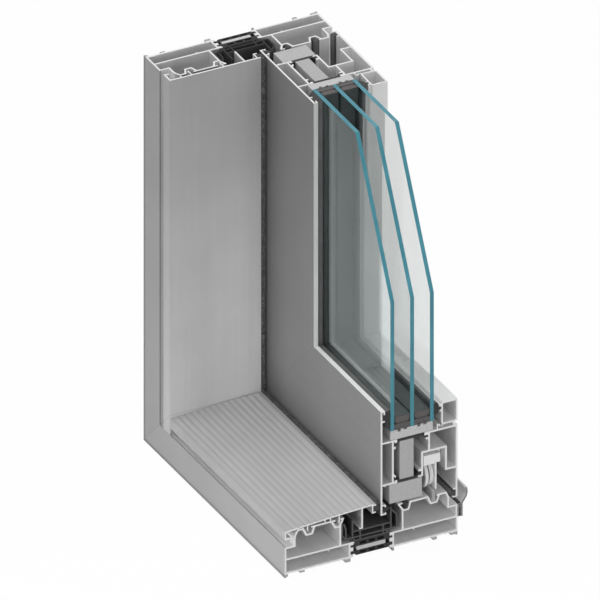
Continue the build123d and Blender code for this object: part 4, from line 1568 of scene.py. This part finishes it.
    def dress_nodes(self) -> None:
        """Finish the edge seals and the packers."""
        seal = Rubber("edge_sealant", srgb(78, 76, 76), srgb(92, 90, 90), roughness=0.7,
                      cut=srgb(84, 82, 82)).build()
        dress("outer_edge_sealant", seal)
        dress("inner_edge_sealant", seal)
        packer = RigidFoam("packer_plastic", srgb(196), srgb(160), 700.0).build()
        dress("bottom_glass_packer", packer)
        dress("side_glass_packer", packer)

    def build(self) -> None:
        """Build the glass unit."""
        self.build_panes()
        self.build_spacers()
        self.dress_nodes()


@dataclass
class Carriage:
    """Running wheel, its pin and the carriage bar."""

    axis_x: float = 264.8
    axis_z: float = 66.2
    side: float = 142.75
    flange_radius: float = 15.0
    neck_radius: float = 12.4
    tread_radius: float = 13.9
    bore_radius: float = 3.05
    flange_width: float = 3.3
    neck_width: float = 1.4
    width: float = 8.9

    def wheel_profile(self) -> np.ndarray:
        """Outline of half the wheel: hub, dished web, flange, neck and tread.

        Returns:
            Radius and depth of each point.
        """
        start = self.side
        neck = start + self.flange_width
        tread = neck + self.neck_width
        end = start + self.width
        return softened([
            (self.bore_radius, start), (5.2, start), (5.9, start + 1.3), (10.6, start + 1.3),
            (11.3, start), (self.flange_radius, start + 0.1), (self.flange_radius, neck - 0.1),
            (self.neck_radius, neck + 0.1), (self.neck_radius, tread - 0.1), (self.tread_radius, tread + 0.1),
            (self.tread_radius, end - 0.1), (11.3, end), (10.6, end - 1.2), (5.9, end - 1.2), (5.2, end),
            (self.bore_radius, end),
        ], 0.5, 3)

    def build(self) -> None:
        """Turn the wheel and dress the bar and the pin."""
        neck = (self.side + self.flange_width, self.side + self.flange_width + self.neck_width)
        nylon = TurnedNylon("turned_nylon", srgb(224), srgb(192), self.axis_x, self.axis_z, neck).build()
        points, faces = turned(self.wheel_profile(), self.axis_x, self.axis_z)
        make_piece("running_wheel", points, faces, [nylon], "wheel", ["carriage_wheel"],
                   smooth_below=35)
        dress("carriage", MachinedMetal("carriage_metal", srgb(234), srgb(208), metal=0.2,
                                        roughness=0.42).build())
        dress("wheel_axle", MachinedMetal("pin_steel", srgb(196), srgb(150), metal=0.9,
                                          roughness=0.28, stretch=(420.0, 3.0, 420.0)).build())


@dataclass(frozen=True)
class Lamp:
    """One square lamp that isn't seen through the glass, in metres and watts."""

    name: str
    spot: tuple[float, float, float]
    size: float
    watts: float
    mirrored: bool = True

    def hang(self, aim: Vector) -> None:
        """Hang the lamp and turn it.

        Args:
            aim: Point that it faces.
        """
        light = bpy.data.lights.new(self.name, "AREA")
        light.shape = "SQUARE"
        light.size = self.size
        light.energy = self.watts
        lamp = bpy.data.objects.new(self.name, light)
        bpy.context.scene.collection.objects.link(lamp)
        lamp.location = self.spot
        lamp.visible_transmission = False
        lamp.visible_glossy = self.mirrored
        lamp.rotation_euler = (Vector(self.spot) - aim).to_track_quat("Z", "Y").to_euler()


@dataclass
class Studio:
    """Pale floor, soft lamps, even surroundings, and the photograph's parallel view."""

    azimuth: float = 63.0
    elevation: float = 30.0
    pixels: float = 600.0
    pixels_per_mm: float = 1.110
    centre_right: float = -5.12
    centre_up: float = 167.32
    camera_distance: float = 1.6
    ambient: float = 0.24
    backdrop: float = 1.0
    floor_half: float = 9.0
    floor_drop: float = 0.0004
    lamp_aim: tuple[float, float, float] = (0.0, 0.0, 0.18)
    lamps: tuple[Lamp, ...] = (
        Lamp("top", (-0.10, -0.30, 1.90), 1.3, 20.0),
        Lamp("near", (0.20, -0.45, 0.03), 0.2, 0.66, mirrored=False),
        Lamp("along", (1.10, 0.04, 0.55), 0.6, 4.1, mirrored=False),
        Lamp("left", (-1.10, -1.60, 0.90), 1.3, 3.0),
        Lamp("back", (-0.70, 1.80, 0.90), 1.3, 8.0),
    )

    def seen_rays(self, wiring: Wiring) -> Socket:
        """Tell the rays of the camera, of gloss and of glass from the rays of light.

        Args:
            wiring: The world's or the floor's wiring.

        Returns:
            A mask that is 1 for the rays that are seen.
        """
        rays = wiring.add("ShaderNodeLightPath")
        mirrored = wiring.math("MAXIMUM", rays.outputs["Is Camera Ray"], rays.outputs["Is Glossy Ray"])
        return wiring.math("MAXIMUM", mirrored, rays.outputs["Is Transmission Ray"])

    def build_world(self) -> None:
        """Light the object evenly, and show white where the camera sees past the floor."""
        world = bpy.data.worlds.new("studio")
        bpy.context.scene.world = world
        world.use_nodes = True
        wiring = Wiring(world.node_tree)
        world.node_tree.nodes.clear()
        glow = wiring.add("ShaderNodeBackground",
                          inputs={"Color": (1.0, 1.0, 1.0, 1.0), "Strength": self.ambient})
        white = wiring.add("ShaderNodeBackground",
                           inputs={"Color": (1.0, 1.0, 1.0, 1.0), "Strength": self.backdrop})
        mixed = wiring.add("ShaderNodeMixShader",
                           inputs={0: self.seen_rays(wiring), 1: glow.outputs[0], 2: white.outputs[0]})
        wiring.add("ShaderNodeOutputWorld", inputs={"Surface": mixed.outputs[0]})

    def build_floor(self) -> None:
        """Lay the floor: white to the eye with a faint shadow, plain pale to the light."""
        half, level = self.floor_half, -self.floor_drop
        mesh = bpy.data.meshes.new("floor")
        mesh.from_pydata([(-half, -half, level), (half, -half, level), (half, half, level),
                          (-half, half, level)], [], [(0, 1, 2, 3)])
        floor = bpy.data.objects.new("floor", mesh)
        bpy.context.scene.collection.objects.link(floor)
        material = bpy.data.materials.new("floor_white")
        material.use_nodes = True
        material.node_tree.nodes.clear()
        wiring = Wiring(material.node_tree)
        plain = wiring.add("ShaderNodeBsdfDiffuse", inputs={"Color": srgb(236)})
        white = wiring.add("ShaderNodeEmission", inputs={"Color": (1.0, 1.0, 1.0, 1.0), "Strength": 1.0})
        share = wiring.math("MULTIPLY", self.seen_rays(wiring), 0.97)
        mixed = wiring.add("ShaderNodeMixShader", inputs={0: share, 1: plain.outputs[0], 2: white.outputs[0]})
        wiring.add("ShaderNodeOutputMaterial", inputs={"Surface": mixed.outputs[0]})
        mesh.materials.append(material)

    def build_camera(self) -> None:
        """Look along the photograph's direction with a parallel view.

        Right is (cos a, sin a, 0), back is (sin a cos e, -cos a cos e, sin e), and up is their
        cross product, with a and e the azimuth and elevation.
        """
        turn, tilt = math.radians(self.azimuth), math.radians(self.elevation)
        right = Vector((math.cos(turn), math.sin(turn), 0.0))
        back = Vector((math.sin(turn) * math.cos(tilt), -math.cos(turn) * math.cos(tilt), math.sin(tilt)))
        up = back.cross(right)
        data = bpy.data.cameras.new("camera")
        data.type = "ORTHO"
        data.ortho_scale = self.pixels / self.pixels_per_mm / 1000
        camera = bpy.data.objects.new("camera", data)
        bpy.context.scene.collection.objects.link(camera)
        spot = right * self.centre_right / 1000 + up * self.centre_up / 1000 + back * self.camera_distance
        turned_frame = Matrix((right, up, back)).transposed().to_4x4()
        camera.matrix_world = Matrix.Translation(spot) @ turned_frame
        bpy.context.scene.camera = camera

    def build(self) -> None:
        """Set up the studio."""
        self.build_world()
        self.build_floor()
        for lamp in self.lamps:
            lamp.hang(Vector(self.lamp_aim))
        self.build_camera()


def main() -> None:
    """Build the corner sample on its frame, then the studio round it."""
    logging.basicConfig(level=logging.INFO, format="%(name)s %(message)s")
    for part in (FrameCorner(), SashCorner(), GlassUnit(), Carriage(), Studio()):
        part.build()
        log.info("%s is built", type(part).__name__)
    bpy.context.scene.view_settings.view_transform = "Standard"


if __name__ == "__main__":
    main()
